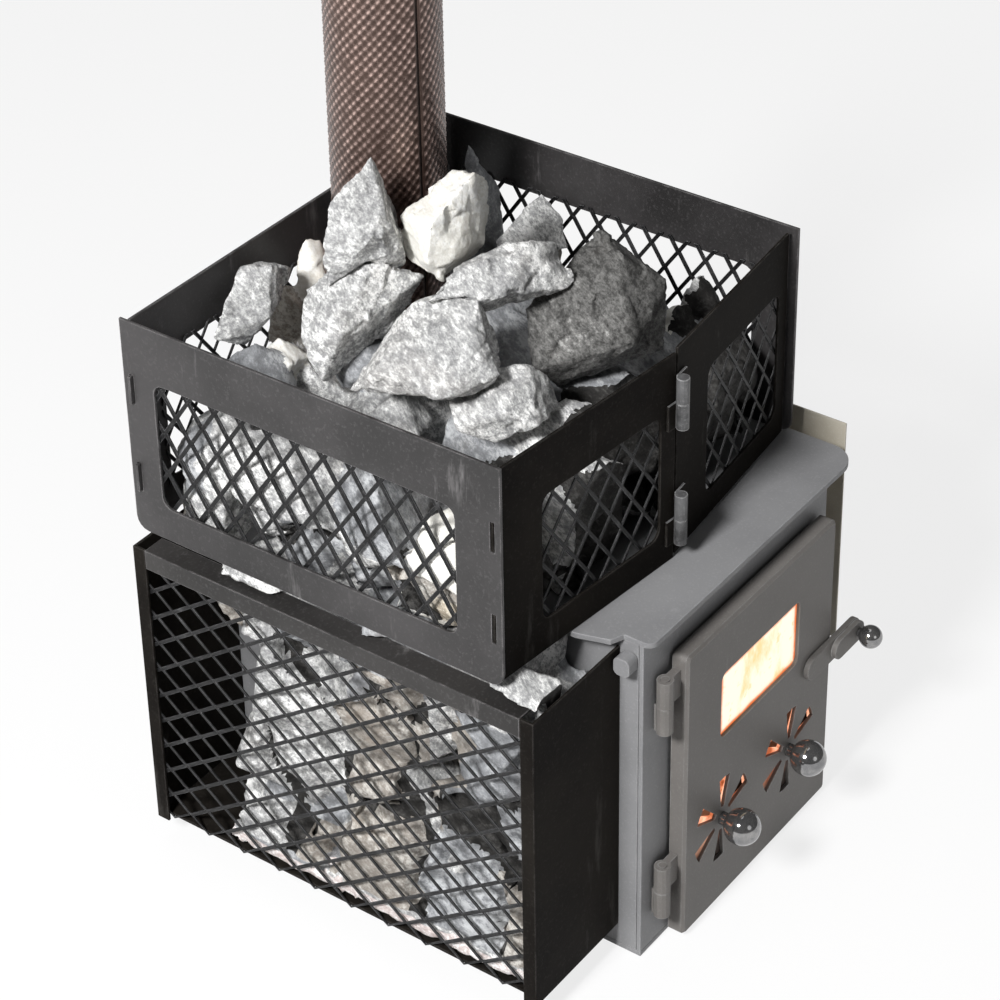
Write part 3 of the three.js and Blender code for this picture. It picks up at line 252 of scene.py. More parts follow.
shieldEnamel = {
    **hoodEnamel, "dark": (0.30, 0.27, 0.215), "light": (0.42, 0.39, 0.33), "dust": (0.46, 0.44, 0.38),
    "bare": (0.50, 0.48, 0.42), "rough": 0.5,
}
ironEnamel = {
    **blackEnamel, "dark": (0.014, 0.013, 0.012), "light": (0.034, 0.032, 0.030), "rough": 0.7, "bumpDepth": 0.8 * mm,
}
wornSteel = {
    **basketSheenEnamel, "dark": (0.022, 0.0215, 0.022), "light": (0.11, 0.11, 0.112), "dust": (0.22, 0.22, 0.22),
    "bare": (0.50, 0.50, 0.50), "rough": 0.34, "cloudScale": 40.0,
}

graniteLook = {
    "dark": (0.25, 0.25, 0.253), "light": (0.66, 0.66, 0.65), "white": (0.90, 0.895, 0.88),
    "rust": (0.42, 0.33, 0.25), "rustShow": 0.1, "whiteFrom": 0.49, "grainSize": 3.2 * mm, "streak": (1.0, 0.32, 0.75),
    "lean": (0.5, 0.35, 0.7), "bumpDepth": 2.6 * mm,
}


def graniteFinish(name, look):  # crystals drawn out along one direction, white bands, rust in places
    material, shader, spot = newFinish(name)
    tree = material.node_tree
    turned = spot.make("ShaderNodeMapping", None, {"Vector": spot, "Rotation": look["lean"]})
    crystal = grain(turned, 0.5 / look["grainSize"], 6, 0.72, look["streak"])
    speck = grain(turned, 1.6 / look["grainSize"], 3, 0.7, look["streak"])
    band = grain(turned, 16, 5, 0.62, look["streak"])
    tone = crystal * 0.5 + speck * 0.3 + band * 0.2
    colour = tone.between(0.40, 0.60).tint(look["dark"], look["light"])
    white = (crystal * 0.45 + band * 0.35 + speck * 0.2).between(look["whiteFrom"], look["whiteFrom"] + 0.1)
    colour = white.over(colour, look["white"])
    stain = grain(spot, 7, 5, 0.65).between(0.54, 0.70)
    colour = (stain * look["rustShow"]).over(colour, look["rust"])
    chip = grain(turned, 60, 8, 0.75, look["streak"]) + 0.5 * crystal + 0.3 * speck
    connect(shader, tree, colour=colour, rough=0.6 + 0.3 * speck, normal=bump(chip, look["bumpDepth"], 0.9))
    shader.inputs["Specular IOR Level"].default_value = 0.3
    return material


def sleeveFinish(name, look):  # heat-tinted steel, with a painted highlight on the tops of the embossed dots
    material, shader, spot = newFinish(name)
    tree = material.node_tree
    heat = grain(spot, 5, 4, 0.6, (1, 1, 0.45))
    colour = heat.between(0.3, 0.7).tint(look["dark"], look["light"])
    soot = grain(spot, 30, 6, 0.65, (1, 1, 0.3)).between(0.5, 0.75)
    colour = (soot * 0.5).over(colour, look["soot"])
    dot = spot.make("ShaderNodeAttribute", {"attribute_name": "dot"}, out="Fac")
    # painted highlight on the tops of the embossed dots
    colour = (dot.between(0.35, 1.0) * grain(spot, 90, 3).between(0.2, 0.6)).over(colour, look["bright"])
    rough = look["rough"] + 0.15 * (heat - 0.5) - 0.12 * dot
    connect(shader, tree, colour=colour, rough=rough, metal=look["metal"],
            normal=bump(grain(spot, 900, 3), 0.12 * mm, 0.5))
    return material


sleeveLook = {
    "dark": (0.050, 0.030, 0.024), "light": (0.105, 0.068, 0.055), "soot": (0.028, 0.019, 0.016),
    "bright": (0.62, 0.45, 0.40), "rough": 0.36, "metal": 0.6,
}
pipeLook = {**sleeveLook, "dark": (0.03, 0.028, 0.027), "light": (0.07, 0.06, 0.055), "soot": (0.015, 0.014, 0.013),
            "rough": 0.5, "metal": 0.5}


ballLook = {"dark": (0.22, 0.22, 0.225), "light": (0.34, 0.335, 0.33), "rough": 0.05, "metal": 0.9}


def ballFinish(name, look):  # polished steel with faint scratches
    material, shader, spot = newFinish(name)
    tree = material.node_tree
    haze = grain(spot, 90, 5, 0.6)
    colour = haze.between(0.35, 0.7).tint(look["dark"], look["light"])
    scratch = grain(spot, 400, 3, 0.6, (1, 0.1, 1)).between(0.55, 0.75)
    connect(shader, tree, colour=colour, rough=look["rough"] + 0.1 * haze + 0.08 * scratch, metal=look["metal"],
            normal=bump(scratch, 0.03 * mm, 0.4))
    return material


def ropeFinish(name):
    material, shader, spot = newFinish(name)
    tree = material.node_tree
    twist = spot.make("ShaderNodeTexWave", {"bands_direction": "DIAGONAL"},
                      {"Vector": spot, "Scale": 160.0, "Distortion": 2.5, "Detail": 2.0}, "Fac")
    colour = (twist * 0.7 + grain(spot, 300) * 0.3).tint((0.12, 0.115, 0.105), (0.34, 0.33, 0.30))
    connect(shader, tree, colour=colour, rough=0.9, normal=bump(twist, 0.8 * mm, 0.8))
    return material


fireLook = {
    "core": (1.0, 0.95, 0.74), "flame": (1.0, 0.66, 0.27), "ember": (0.85, 0.19, 0.05), "strength": 1.0,
    "lapLeft": 16 * mm, "lapRight": 10 * mm, "lapFoot": 10 * mm, "lapTop": 15 * mm, "rim": 5 * mm,
}


def glassFinish(name, look, low, high):  # window lit by the fire behind it, darker orange round its rim
    material, shader, spot = newFinish(name)
    tree = material.node_tree
    along = spot.make("ShaderNodeSeparateXYZ", None, {0: spot}, "X")
    rise = spot.make("ShaderNodeSeparateXYZ", None, {0: spot}, "Z")
    fromSides = spot.sum("MINIMUM", along - (low.x + look["lapLeft"]), high.x - look["lapRight"] - along)
    fromEnds = spot.sum("MINIMUM", rise - (low.z + look["lapFoot"]), high.z - look["lapTop"] - rise)
    inward = spot.sum("MINIMUM", fromSides, fromEnds) + 0.004 * (grain(spot, 60, 3) - 0.5)
    tongue = grain(spot, 24, 5, 0.62, (1.0, 1.0, 0.5))
    colour = tongue.between(0.5, 0.68).tint(look["core"], look["flame"])
    spark = grain(spot, 65, 3).between(0.6, 0.7)
    colour = (spark * 0.7).over(colour, look["flame"])
    colour = (1 - inward.between(0.0005, look["rim"])).over(colour, look["ember"])
    connect(shader, tree, colour=(0.02, 0.015, 0.01, 1), rough=0.06 + 0.05 * grain(spot, 200), glow=colour)
    shader.inputs["Emission Strength"].default_value = look["strength"]
    return material


def emberFinish(name, look):  # damper plate glowing from the fire behind it
    material, shader, spot = newFinish(name)
    tree = material.node_tree
    heat = grain(spot, 40, 5, 0.6)
    rise = spot.make("ShaderNodeSeparateXYZ", None, {0: spot}, "Z")
    upper = (rise - look["darkBelow"]) * (1 / look["fade"])
    lit = (heat.between(look["coldBelow"], 0.6) * (1 - look["leastGlow"]) + look["leastGlow"]) * upper.between(0.0, 1.0)
    colour = heat.between(0.35, 0.65).tint(look["ember"], look["flame"])
    glow = lit.over((0, 0, 0, 1), colour)
    connect(shader, tree, colour=heat.tint((0.02, 0.012, 0.01), (0.05, 0.03, 0.02)), rough=0.7, glow=glow,
            normal=bump(grain(spot, 200), 0.4 * mm))
    shader.inputs["Emission Strength"].default_value = look["strength"]
    return material


emberLook = {
    "ember": (0.85, 0.20, 0.07), "flame": (1.0, 0.52, 0.34), "strength": 1.4, "darkBelow": 0.075, "fade": 0.05,
    "coldBelow": 0.3, "leastGlow": 0.4,
}
grateLook = {
    **emberLook, "ember": (0.82, 0.17, 0.055), "flame": (1.0, 0.47, 0.26), "darkBelow": 0.0, "fade": 20 * mm,
    "coldBelow": 0.34, "leastGlow": 0.30,
}

finish = {
    "hood": enamelFinish("hood_enamel", hoodEnamel),
    "door": enamelFinish("door_enamel", doorShadedEnamel),
    "basket": enamelFinish("basket_enamel", basketSheenEnamel),
    "black": enamelFinish("black_enamel", blackEnamel),
    "strand": enamelFinish("strand_enamel", strandEnamel),
    "shield": enamelFinish("shield_enamel", shieldEnamel),
    "iron": enamelFinish("bare_iron", ironEnamel),
    "worn": enamelFinish("worn_steel", wornSteel),
    "rail": enamelFinish("rail_enamel", railEnamel),
    "granite": graniteFinish("grey_granite", graniteLook),
    "paleStone": graniteFinish("white_stone", {
        **graniteLook, "dark": (0.76, 0.74, 0.68), "light": (0.90, 0.89, 0.84), "white": (0.95, 0.945, 0.92),
        "rust": (0.66, 0.54, 0.40), "rustShow": 0.3, "bumpDepth": 1.6 * mm}),
    "creamStone": graniteFinish("cream_stone", {
        **graniteLook, "dark": (0.40, 0.34, 0.26), "light": (0.64, 0.57, 0.46), "white": (0.78, 0.73, 0.64)}),
    # near-black granite: painted shadow in the deep gaps between stones and on front faces in shade
    "sootStone": graniteFinish("sooted_stone", {
        **graniteLook, "dark": (0.016, 0.015, 0.014), "light": (0.036, 0.034, 0.032), "white": (0.075, 0.073, 0.07),
        "rustShow": 0.0}),
    "pinkStone": graniteFinish("pale_pink_stone", {
        **graniteLook, "dark": (0.50, 0.42, 0.40), "light": (0.80, 0.74, 0.72), "white": (0.92, 0.89, 0.88)}),
    "darkStone": graniteFinish("dark_granite", {
        **graniteLook, "dark": (0.045, 0.044, 0.042), "light": (0.20, 0.197, 0.19), "white": (0.46, 0.455, 0.44),
        "whiteFrom": 0.55}),
    "shadyStone": graniteFinish("mid_granite", {
        **graniteLook, "dark": (0.20, 0.205, 0.215), "light": (0.36, 0.37, 0.385), "white": (0.50, 0.51, 0.52),
        "bumpDepth": 1.8 * mm}),
    "warmStone": graniteFinish("warm_granite", {
        **graniteLook, "dark": (0.24, 0.215, 0.19), "light": (0.42, 0.395, 0.36), "white": (0.60, 0.58, 0.54),
        "rustShow": 0.35, "bumpDepth": 1.8 * mm}),
    "sleeve": sleeveFinish("sleeve_steel", sleeveLook),
    "pipe": sleeveFinish("pipe_steel", pipeLook),
    "ball": ballFinish("ball_polish", ballLook),
    "rope": ropeFinish("seal_rope"),
    "glass": glassFinish("fire_glass", fireLook, *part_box("window_glass")),
    "ember": emberFinish("damper_glow", emberLook),
    "hotGrate": emberFinish("grate_glow", grateLook),
}
print("finishes made:", len(finish))


# mesh helpers
def standIn(bm, node, looks, suffix="_made", smooth=True):  # a finished shape in a node's place
    mesh = bpy.data.meshes.new(node + suffix)
    bm.to_mesh(mesh)
    bm.free()
    for face in mesh.polygons:
        face.use_smooth = smooth
    for look in looks:
        mesh.materials.append(finish[look])
    piece = bpy.data.objects.new(node + suffix, mesh)
    scene.collection.objects.link(piece)
    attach(piece, bodyOf[node])
    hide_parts(node)
    return piece


def edgedCopy(node, looks, width, steps=2):  # the plate with its edges eased
    bm = bmesh.new()
    bm.from_mesh(nodes[node].data)
    bmesh.ops.remove_doubles(bm, verts=bm.verts, dist=1e-6)
    bmesh.ops.dissolve_limit(bm, angle_limit=math.radians(0.6), verts=bm.verts, edges=bm.edges)
    piece = standIn(bm, node, looks, "_eased")
    bevel = piece.modifiers.new("eased_edges", "BEVEL")
    bevel.width = width
    bevel.segments = steps
    bevel.limit_method = "ANGLE"
    bevel.angle_limit = math.radians(28)
    flats = piece.modifiers.new("even_flats", "WEIGHTED_NORMAL")
    flats.weight = 100
    return piece


def addLathe(bm, profile, steps, toPlace):  # (radius, height) pairs turned about local Z
    rings = []
    for radius, height in profile:
        if radius < 1e-7:
            rings.append([bm.verts.new(toPlace @ Vector((0, 0, height)))])
            continue
        ring = []
        for i in range(steps):
            angle = 2 * math.pi * i / steps
            ring.append(bm.verts.new(toPlace @ Vector((radius * math.cos(angle), radius * math.sin(angle), height))))
        rings.append(ring)
    for low, high in zip(rings, rings[1:]):
        for i in range(steps):
            j = (i + 1) % steps
            if len(low) == 1 and len(high) == 1:
                continue
            if len(low) == 1:
                bm.faces.new((low[0], high[j], high[i]))
            elif len(high) == 1:
                bm.faces.new((low[i], low[j], high[0]))
            else:
                bm.faces.new((low[i], low[j], high[j], high[i]))


def smoothByAngle(piece, degrees):
    piece.data.set_sharp_from_angle(angle=math.radians(degrees))


# plates
plates = {
    "hood": (["floor_plate", "left_wall", "right_wall", "back_wall", "front_frame", "top_plate", "cage_peg"], 0.9 * mm),
    # door: the hood's grey with painted shade
    "door": (["door_shell", "latch_lever"], 0.9 * mm),
    # basket: the black paint with a painted sheen
    "basket": (["basket_left_panel", "basket_right_panel", "basket_back_panel"], 0.6 * mm),
    "rail": (["cage_top_rail", "latch_tongue", "glass_retainer"], 0.6 * mm),
    "black": (["basket_front_panel", "basket_door_panel", "cage_front_plate", "cage_back_plate", "cage_floor"], 0.6 * mm),
    "shield": (["heat_shield", "shield_bracket_front", "shield_bracket_rear"], 0.5 * mm),
    "iron": (["smoke_baffle", "flue_collar", "door_liner"], 0.7 * mm),
    "hotGrate": (["fire_grate"], 0.7 * mm),
}
for look, (members, width) in plates.items():
    for node in members:
        edgedCopy(node, [look], width)
print("plates eased")

for node, look in (("window_glass", "glass"), ("door_rope_seal", "rope"),
                   ("damper_disc_left", "ember"), ("damper_disc_right", "ember")):
    nodes[node].data.materials.clear()
    nodes[node].data.materials.append(finish[look])


# flue
flueSetup = {
    "axis": (0.0, 0.136), "bumpsAround": 38, "bumpPitch": 11.0 * mm, "bumpRise": 1.5 * mm, "valley": 0.9 * mm,
    "seamAngle": -106.7, "seamGap": 1.4 * mm, "sheet": 0.7 * mm, "pipeSteps": 96,
}


def makePipe(setup):
    low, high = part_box("flue_pipe")
    outer = (high.x - low.x) / 2
    inner = outer - 2 * mm
    ease = 0.5 * mm
    profile = [(inner, low.z), (outer, low.z), (outer, high.z - ease), (outer - ease, high.z), (inner + ease, high.z),
               (inner, high.z - ease), (inner, low.z)]
    bm = bmesh.new()
    addLathe(bm, profile, setup["pipeSteps"], Matrix.Translation((*setup["axis"], 0)))
    bmesh.ops.remove_doubles(bm, verts=bm.verts, dist=1e-6)
    smoothByAngle(standIn(bm, "flue_pipe", ["pipe"]), 40)


def makeSleeve(setup):  # sheet embossed with staggered round dots, left open at a seam
    low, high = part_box("pipe_sleeve")
    pipeLow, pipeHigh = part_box("flue_pipe")
    valley = (pipeHigh.x - pipeLow.x) / 2 + setup["valley"]
    columns = 4 * setup["bumpsAround"]
    rows = 4 * round((high.z - low.z) / setup["bumpPitch"])
    step = (high.z - low.z) / rows
    gap = setup["seamGap"] / valley
    start = math.radians(setup["seamAngle"])
    x, y = setup["axis"]
    bm = bmesh.new()
    dot = bm.verts.layers.float.new("dot")
    grid = []
    for row in range(rows + 1):
        line = []
        for column in range(columns + 1):
            angle = start + gap / 2 + (2 * math.pi - gap) * column / columns
            wave = (1 + math.cos(math.pi / 2 * column) * math.cos(math.pi / 2 * row)) / 2
            border = row in (0, rows) or column in (0, columns)
            radius = valley + (0.0 if border else setup["bumpRise"] * wave ** 1.5)
            vert = bm.verts.new((x + radius * math.cos(angle), y + radius * math.sin(angle), low.z + step * row))
            vert[dot] = 0.0 if border else wave
            line.append(vert)
        grid.append(line)
    for row in range(rows):
        for column in range(columns):
            bm.faces.new((grid[row][column], grid[row][column + 1], grid[row + 1][column + 1], grid[row + 1][column]))
    piece = standIn(bm, "pipe_sleeve", ["sleeve"])
    shell = piece.modifiers.new("sheet", "SOLIDIFY")
    shell.thickness = setup["sheet"]
    shell.offset = -1


makePipe(flueSetup)
makeSleeve(flueSetup)
print("flue made")


# expanded metal
sheetSetup = {
    "longWay": 46.5 * mm, "shortWay": 32.6 * mm, "strand": 4.1 * mm, "thickness": 1.8 * mm, "twist": 1.0 * mm,
}


def addDiamonds(bm, width, height, pitchU, pitchV, rawFoot, setup):
    halfU, halfV = pitchU / 2, pitchV / 2
    shrink = 1 - setup["strand"] / 2 * math.hypot(halfU, halfV) / (halfU * halfV)
    columns = math.ceil(width / halfU)
    startU = (width - columns * halfU) / 2
    twistU = setup["twist"] if pitchU < pitchV else 0.0
    twistV = 0.0 if pitchU < pitchV else setup["twist"]
    corners = {}

    def corner(u, v):
        key = (round(u * 1e5), round(v * 1e5))
        if key not in corners:
            corners[key] = bm.verts.new((u, v, 0))
        return corners[key]

    for i in range(-1, columns + 2):
        for row in range(-2, int(height / pitchV) + 3):
            u = startU + i * halfU
            v = pitchV * row + (halfV if i % 2 == 0 else 0)
            if rawFoot and v < halfV * 0.9:
                continue
            outer = [corner(u - halfU, v), corner(u, v - halfV), corner(u + halfU, v), corner(u, v + halfV)]
            du, dv = halfU * shrink, halfV * shrink
            inner = [bm.verts.new((u - du, v, -twistU)), bm.verts.new((u, v - dv, -twistV)),
                     bm.verts.new((u + du, v, twistU)), bm.verts.new((u, v + dv, twistV))]
            for k in range(4):
                m = (k + 1) % 4
                bm.faces.new((outer[k], outer[m], inner[m], inner[k]))


def trim(bm, point, normal):
    bmesh.ops.bisect_plane(bm, geom=bm.verts[:] + bm.edges[:] + bm.faces[:], plane_co=point, plane_no=normal,
                           clear_outer=True)


def makeSheet(node, width, height, pitchU, pitchV, toPlace, rawFoot=False, setup=sheetSetup):
    bm = bmesh.new()
    addDiamonds(bm, width, height, pitchU, pitchV, rawFoot, setup)
    trim(bm, (0, 0, 0), (-1, 0, 0))
    trim(bm, (width, 0, 0), (1, 0, 0))
    trim(bm, (0, height, 0), (0, 1, 0))
    if not rawFoot:
        trim(bm, (0, 0, 0), (0, -1, 0))
    bmesh.ops.remove_doubles(bm, verts=bm.verts, dist=1e-5)
    bmesh.ops.transform(bm, matrix=toPlace, verts=bm.verts)
    bmesh.ops.recalc_face_normals(bm, faces=bm.faces)
    piece = standIn(bm, node, ["strand"], smooth=False)
    body = piece.modifiers.new("sheet", "SOLIDIFY")
    body.thickness = setup["thickness"]
    body.offset = 0
    body.use_even_offset = True
    edge = piece.modifiers.new("eased_edges", "BEVEL")
    edge.width = 0.35 * mm
    edge.segments = 1
    edge.limit_method = "ANGLE"
    edge.angle_limit = math.radians(50)
    return piece


def upright(along, origin):  # sheet's u along a level direction, v up
    u = Vector(along).normalized()
    v = Vector((0, 0, 1))
    w = u.cross(v)
    matrix = Matrix((u, v, w)).transposed().to_4x4()
    return Matrix.Translation(origin) @ matrix


def sheetEnds(node):  # middle of the two ends of an upright sheet at its foot
    points = [Vector(v.co) for v in nodes[node].data.vertices]
    low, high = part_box(node)
    axis = 0 if high.x - low.x > high.y - low.y else 1
    ends = []
    for limit in (low[axis], high[axis]):
        near = [p for p in points if abs(p[axis] - limit) < 0.6 * mm]
        middle = sum(near, Vector()) / len(near)
        ends.append(Vector((middle.x, middle.y, low.z)))
    return ends, high.z - low.z


for node in ("basket_left_mesh", "basket_right_mesh", "basket_back_mesh", "basket_front_mesh", "basket_door_mesh"):
    (start, stop), rise = sheetEnds(node)
    makeSheet(node, (stop - start).length, rise, sheetSetup["shortWay"], sheetSetup["longWay"],
              upright(stop - start, start))
(start, stop), rise = sheetEnds("cage_mesh")
makeSheet("cage_mesh", (stop - start).length, rise, sheetSetup["longWay"], sheetSetup["shortWay"],
          upright(stop - start, start), rawFoot=True)
print("expanded metal made")


# door hardware
knobSetup = {"steps": 48, "bands": 20}


def ballProfile(ball, neck, ahead, foot, spindle):
    start = math.asin(neck / ball)
    profile = [*spindle, (neck / 2, foot)]
    for i in range(knobSetup["bands"]):
        angle = start + (math.pi - start) * i / knobSetup["bands"]
        profile.append((ball / 2 * math.sin(angle), ahead - ball / 2 * math.cos(angle)))
    return [*profile, (0, ahead + ball / 2)]


def makeKnob(node, ball, neck, spindleSize):
    low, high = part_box(node)
    reach = low.y
    middle = Vector(((low.x + high.x) / 2, reach + ball / 2, (low.z + high.z) / 2))
    behind = high.y - middle.y
    shoulder = behind - spindleSize[1]
    spindle = [(0, -behind)]
    if spindleSize[1] > 0:
        spindle += [(spindleSize[0] / 2, -behind), (spindleSize[0] / 2, -shoulder)]
    toPlace = Matrix.Translation(middle) @ Matrix.Rotation(math.pi / 2, 4, "X")
    bm = bmesh.new()
    addLathe(bm, ballProfile(ball, neck, 0.0, -shoulder, spindle), knobSetup["steps"], toPlace)
    smoothByAngle(standIn(bm, node, ["ball"]), 40)


makeKnob("damper_knob_left", 38 * mm, 14 * mm, (10 * mm, 9.6 * mm))
makeKnob("damper_knob_right", 38 * mm, 14 * mm, (10 * mm, 9.6 * mm))
makeKnob("latch_knob", 25 * mm, 10 * mm, (0, 0))
print("knobs made")

hingeSetup = {"ease": 0.5 * mm, "barrel": 7.2 * mm}


def makeHinges(setup):  # basket hinges: barrels rubbed bright, leaves painted like the panel they sit on; door hinges painted like the door throughout
    x, y, z = next(joint["pos_m"] for joint in frame["joints"] if joint["name"] == "basket_door_swing")
    for node in nodes:
        if node.startswith("door_hinge"):
            edgedCopy(node, ["door"], setup["ease"])
        elif node.startswith("basket_hinge"):
            piece = edgedCopy(node, ["black", "worn"], setup["ease"])
            for face in piece.data.polygons:
                away = Vector(face.center) - Vector((x, y, face.center.z))
                face.material_index = 1 if away.length < setup["barrel"] else 0


makeHinges(hingeSetup)
print("hinges made")


# stones
stoneSetup = {
    "voxel": 3.0 * mm, "split": 30 * mm, "tilt": 0.12, "step": 0.7 * mm, "coarse": 1.1 * mm, "fine": 0.6 * mm,
    "sink": 1.3 * mm, "chipPasses": 4,
}


def smallFaces(node, voxel, addTo=None):  # the solid's surface in small even faces
    bm = bmesh.new()
    bm.from_mesh(nodes[node].data)
    if addTo:
        addTo(bm)
    mesh = bpy.data.meshes.new("stone_start")
    bm.to_mesh(mesh)
    bm.free()
    start = bpy.data.objects.new("stone_start", mesh)
    scene.collection.objects.link(start)
    skin = start.modifiers.new("small_faces", "REMESH")
    skin.mode = "VOXEL"
    skin.voxel_size = voxel
    fine = bpy.data.meshes.new_from_object(start.evaluated_get(bpy.context.evaluated_depsgraph_get()))
    bm = bmesh.new()
    bm.from_mesh(fine)
    for unused in (mesh, fine):
        bpy.data.meshes.remove(unused)
    return bm


def breakUp(bm, setup):  # flats broken into leaning chips, ridges knocked off here and there
    bm.normal_update()
    for turn in range(setup["chipPasses"]):
        knocked = []
        for vert in bm.verts:
            around = sum((edge.other_vert(vert).co for edge in vert.link_edges), Vector()) / len(vert.link_edges)
            soft = noise.fractal(vert.co * 55, 0.9, 2.0, 3) + 0.12
            if soft > 0 and (vert.co - around).dot(vert.normal) > 0:
                knocked.append((vert, vert.co.lerp(around, min(0.9, 2.2 * soft))))
        for vert, place in knocked:
            vert.co = place
    bm.normal_update()
    moves = []
    for vert in bm.verts:
        chip = noise.voronoi(vert.co / setup["split"])[1][0]
        lean = 2 * noise.cell_vector(chip) - Vector((1, 1, 1))
        away = vert.co - chip * setup["split"]
        rise = setup["tilt"] * lean.dot(away) + setup["step"] * lean.x
        rise += setup["coarse"] * noise.fractal(vert.co * 45, 0.9, 2.1, 3)
        rise += setup["fine"] * noise.fractal(vert.co * 210, 0.8, 2.2, 3)
        moves.append((vert, vert.normal * min(0.5 * mm, rise - setup["sink"])))
    for vert, move in moves:
        vert.co += move


topStones = {
    "granite": ["top_stone_1", "top_stone_3", "top_stone_4", "top_stone_5", "top_stone_6", "top_stone_8"],
    "darkStone": ["top_stone_2"], "paleStone": ["top_stone_7"],
}
for look, members in topStones.items():
    for node in members:
        bm = smallFaces(node, stoneSetup["voxel"])
        breakUp(bm, stoneSetup)
        standIn(bm, node, [look])
print("top stones made")

stoneLooks = ["granite", "shadyStone", "warmStone", "paleStone", "pinkStone", "creamStone", "sootStone"]
fillSetup = {
    "basket_stone_bed": {
        "seed": 11, "shares": (0.54, 0.30, 0.12, 0.04), "stone": (0.10, 0.12, 0.11), "partFrom": 0.38, "partTo": 0.47,
        "chips": 0, "shade": 110 * mm,
        "extra": {"creamStone": ((-0.254, -0.150, 0.436), 96 * mm), "shadyStone": ((-0.262, 0.158, 0.47), 84 * mm)},
        "named": {"warmStone": [(-0.104, 0.207, 0.55)], "paleStone": [(-0.165, 0.153, 0.53), (0.124, -0.130, 0.53)]},
    },
    "cage_stone_pile": {
        "seed": 4, "shares": (0.24, 0.50, 0.24, 0.02), "stone": (0.15, 0.105, 0.17), "partFrom": 0.055, "partTo": 0.345,
        "chips": 90, "shade": 0.0, "extra": {}, "named": {},
    },
}
partSetup = {
    "voxel": 4.0 * mm, "reach": 32 * mm, "round": 0.6, "roundDepth": 13 * mm, "crack": 0.20, "crackDepth": 34 * mm,
    # crack level above which a face gets the painted shadow
    "sooted": 0.6, "chip": (20 * mm, 38 * mm),
}
heapSetup = {**stoneSetup, "tilt": 0.06, "step": 0.4 * mm, "coarse": 0.8 * mm, "fine": 0.35 * mm, "sink": 1.0 * mm}


def addLump(bm, centre, size, low, high, rng):  # rough convex stone kept inside the heap's box
    points = []
    for k in range(16):
        way = Vector((rng.gauss(0, 1), rng.gauss(0, 1), rng.gauss(0, 1))).normalized()
        spot = centre + way * size / 2
        points.append(bm.verts.new([min(max(spot[a], low[a]), high[a]) for a in range(3)]))
    hull = bmesh.ops.convex_hull(bm, input=points)
    inside = [item for item in hull["geom_interior"] if isinstance(item, bmesh.types.BMVert)]
    bmesh.ops.delete(bm, geom=inside, context="VERTS")


def addLoose(bm, low, high, setup, rng):  # broken bits along the foot of the open side, and single stones
    for i in range(setup["chips"]):
        size = rng.uniform(*partSetup["chip"])
        out = 0.36 if i % 2 else rng.uniform(0.4, 1.5)
        along = low.y + (high.y - low.y) * (i + 0.5) / setup["chips"]
        addLump(bm, Vector((low.x + size * out, along, low.z + size * rng.uniform(0.2, 0.4))), size, low, high, rng)
    for place, size in setup["extra"].values():
        addLump(bm, Vector(place), size, low, high, rng)


def cellAt(place, size):  # nearest stone's middle, and how far the next one is from taking over
    spot = Vector([place[k] / size[k] for k in range(3)])
    distances, middles = noise.voronoi(spot)
    return middles[0], distances[1] - distances[0]


def sideOf(place, low, high, setup):  # 1 on the flat sides of a heap between two levels, 0 well inside
    inside = min(place.x - low.x, high.x - place.x, place.y - low.y, high.y - place.y)
    share = 1 - min(1.0, max(0.0, inside / partSetup["reach"]))
    share *= min(1.0, max(0.0, (setup["partTo"] - place.z) / (20 * mm)))
    return share * min(1.0, max(0.0, (place.z - setup["partFrom"]) / (20 * mm)))


def crackAt(place, margin):  # 1 in the middle of a gap between stones, the gaps wide and narrow by turns
    wide = partSetup["crack"] * min(1.6, max(0.25, 0.8 + 1.5 * noise.noise(place * 14)))
    return max(0.0, 1 - margin / wide)


def partStones(bm, low, high, setup):  # the flat sides of a heap parted into single stones
    bm.normal_update()
    moves = []
    for vert in bm.verts:
        middle, margin = cellAt(vert.co, setup["stone"])
        depth = partSetup["roundDepth"] * max(0.0, 1 - margin / partSetup["round"]) ** 2
        depth += partSetup["crackDepth"] * crackAt(vert.co, margin)
        moves.append((vert, vert.normal * -depth * sideOf(vert.co, low, high, setup)))
    for vert, move in moves:
        vert.co += move


def stonesOf(node):  # faces of a heap by stone: two stones meet in an inward edge
    bm = bmesh.new()
    bm.from_mesh(nodes[node].data)
    bmesh.ops.remove_doubles(bm, verts=bm.verts, dist=1e-6)
    bm.faces.ensure_lookup_table()
    stoneAt = [-1] * len(bm.faces)
    count = 0
    for seed in bm.faces:
        if stoneAt[seed.index] >= 0:
            continue
        stoneAt[seed.index] = count
        reached = [seed]
        while reached:
            face = reached.pop()
            for edge in face.edges:
                if len(edge.link_faces) != 2 or edge.calc_face_angle_signed(0) < -0.02:
                    continue
                for other in edge.link_faces:
                    if stoneAt[other.index] < 0:
                        stoneAt[other.index] = count
                        reached.append(other)
        count += 1
    return bm, stoneAt, count


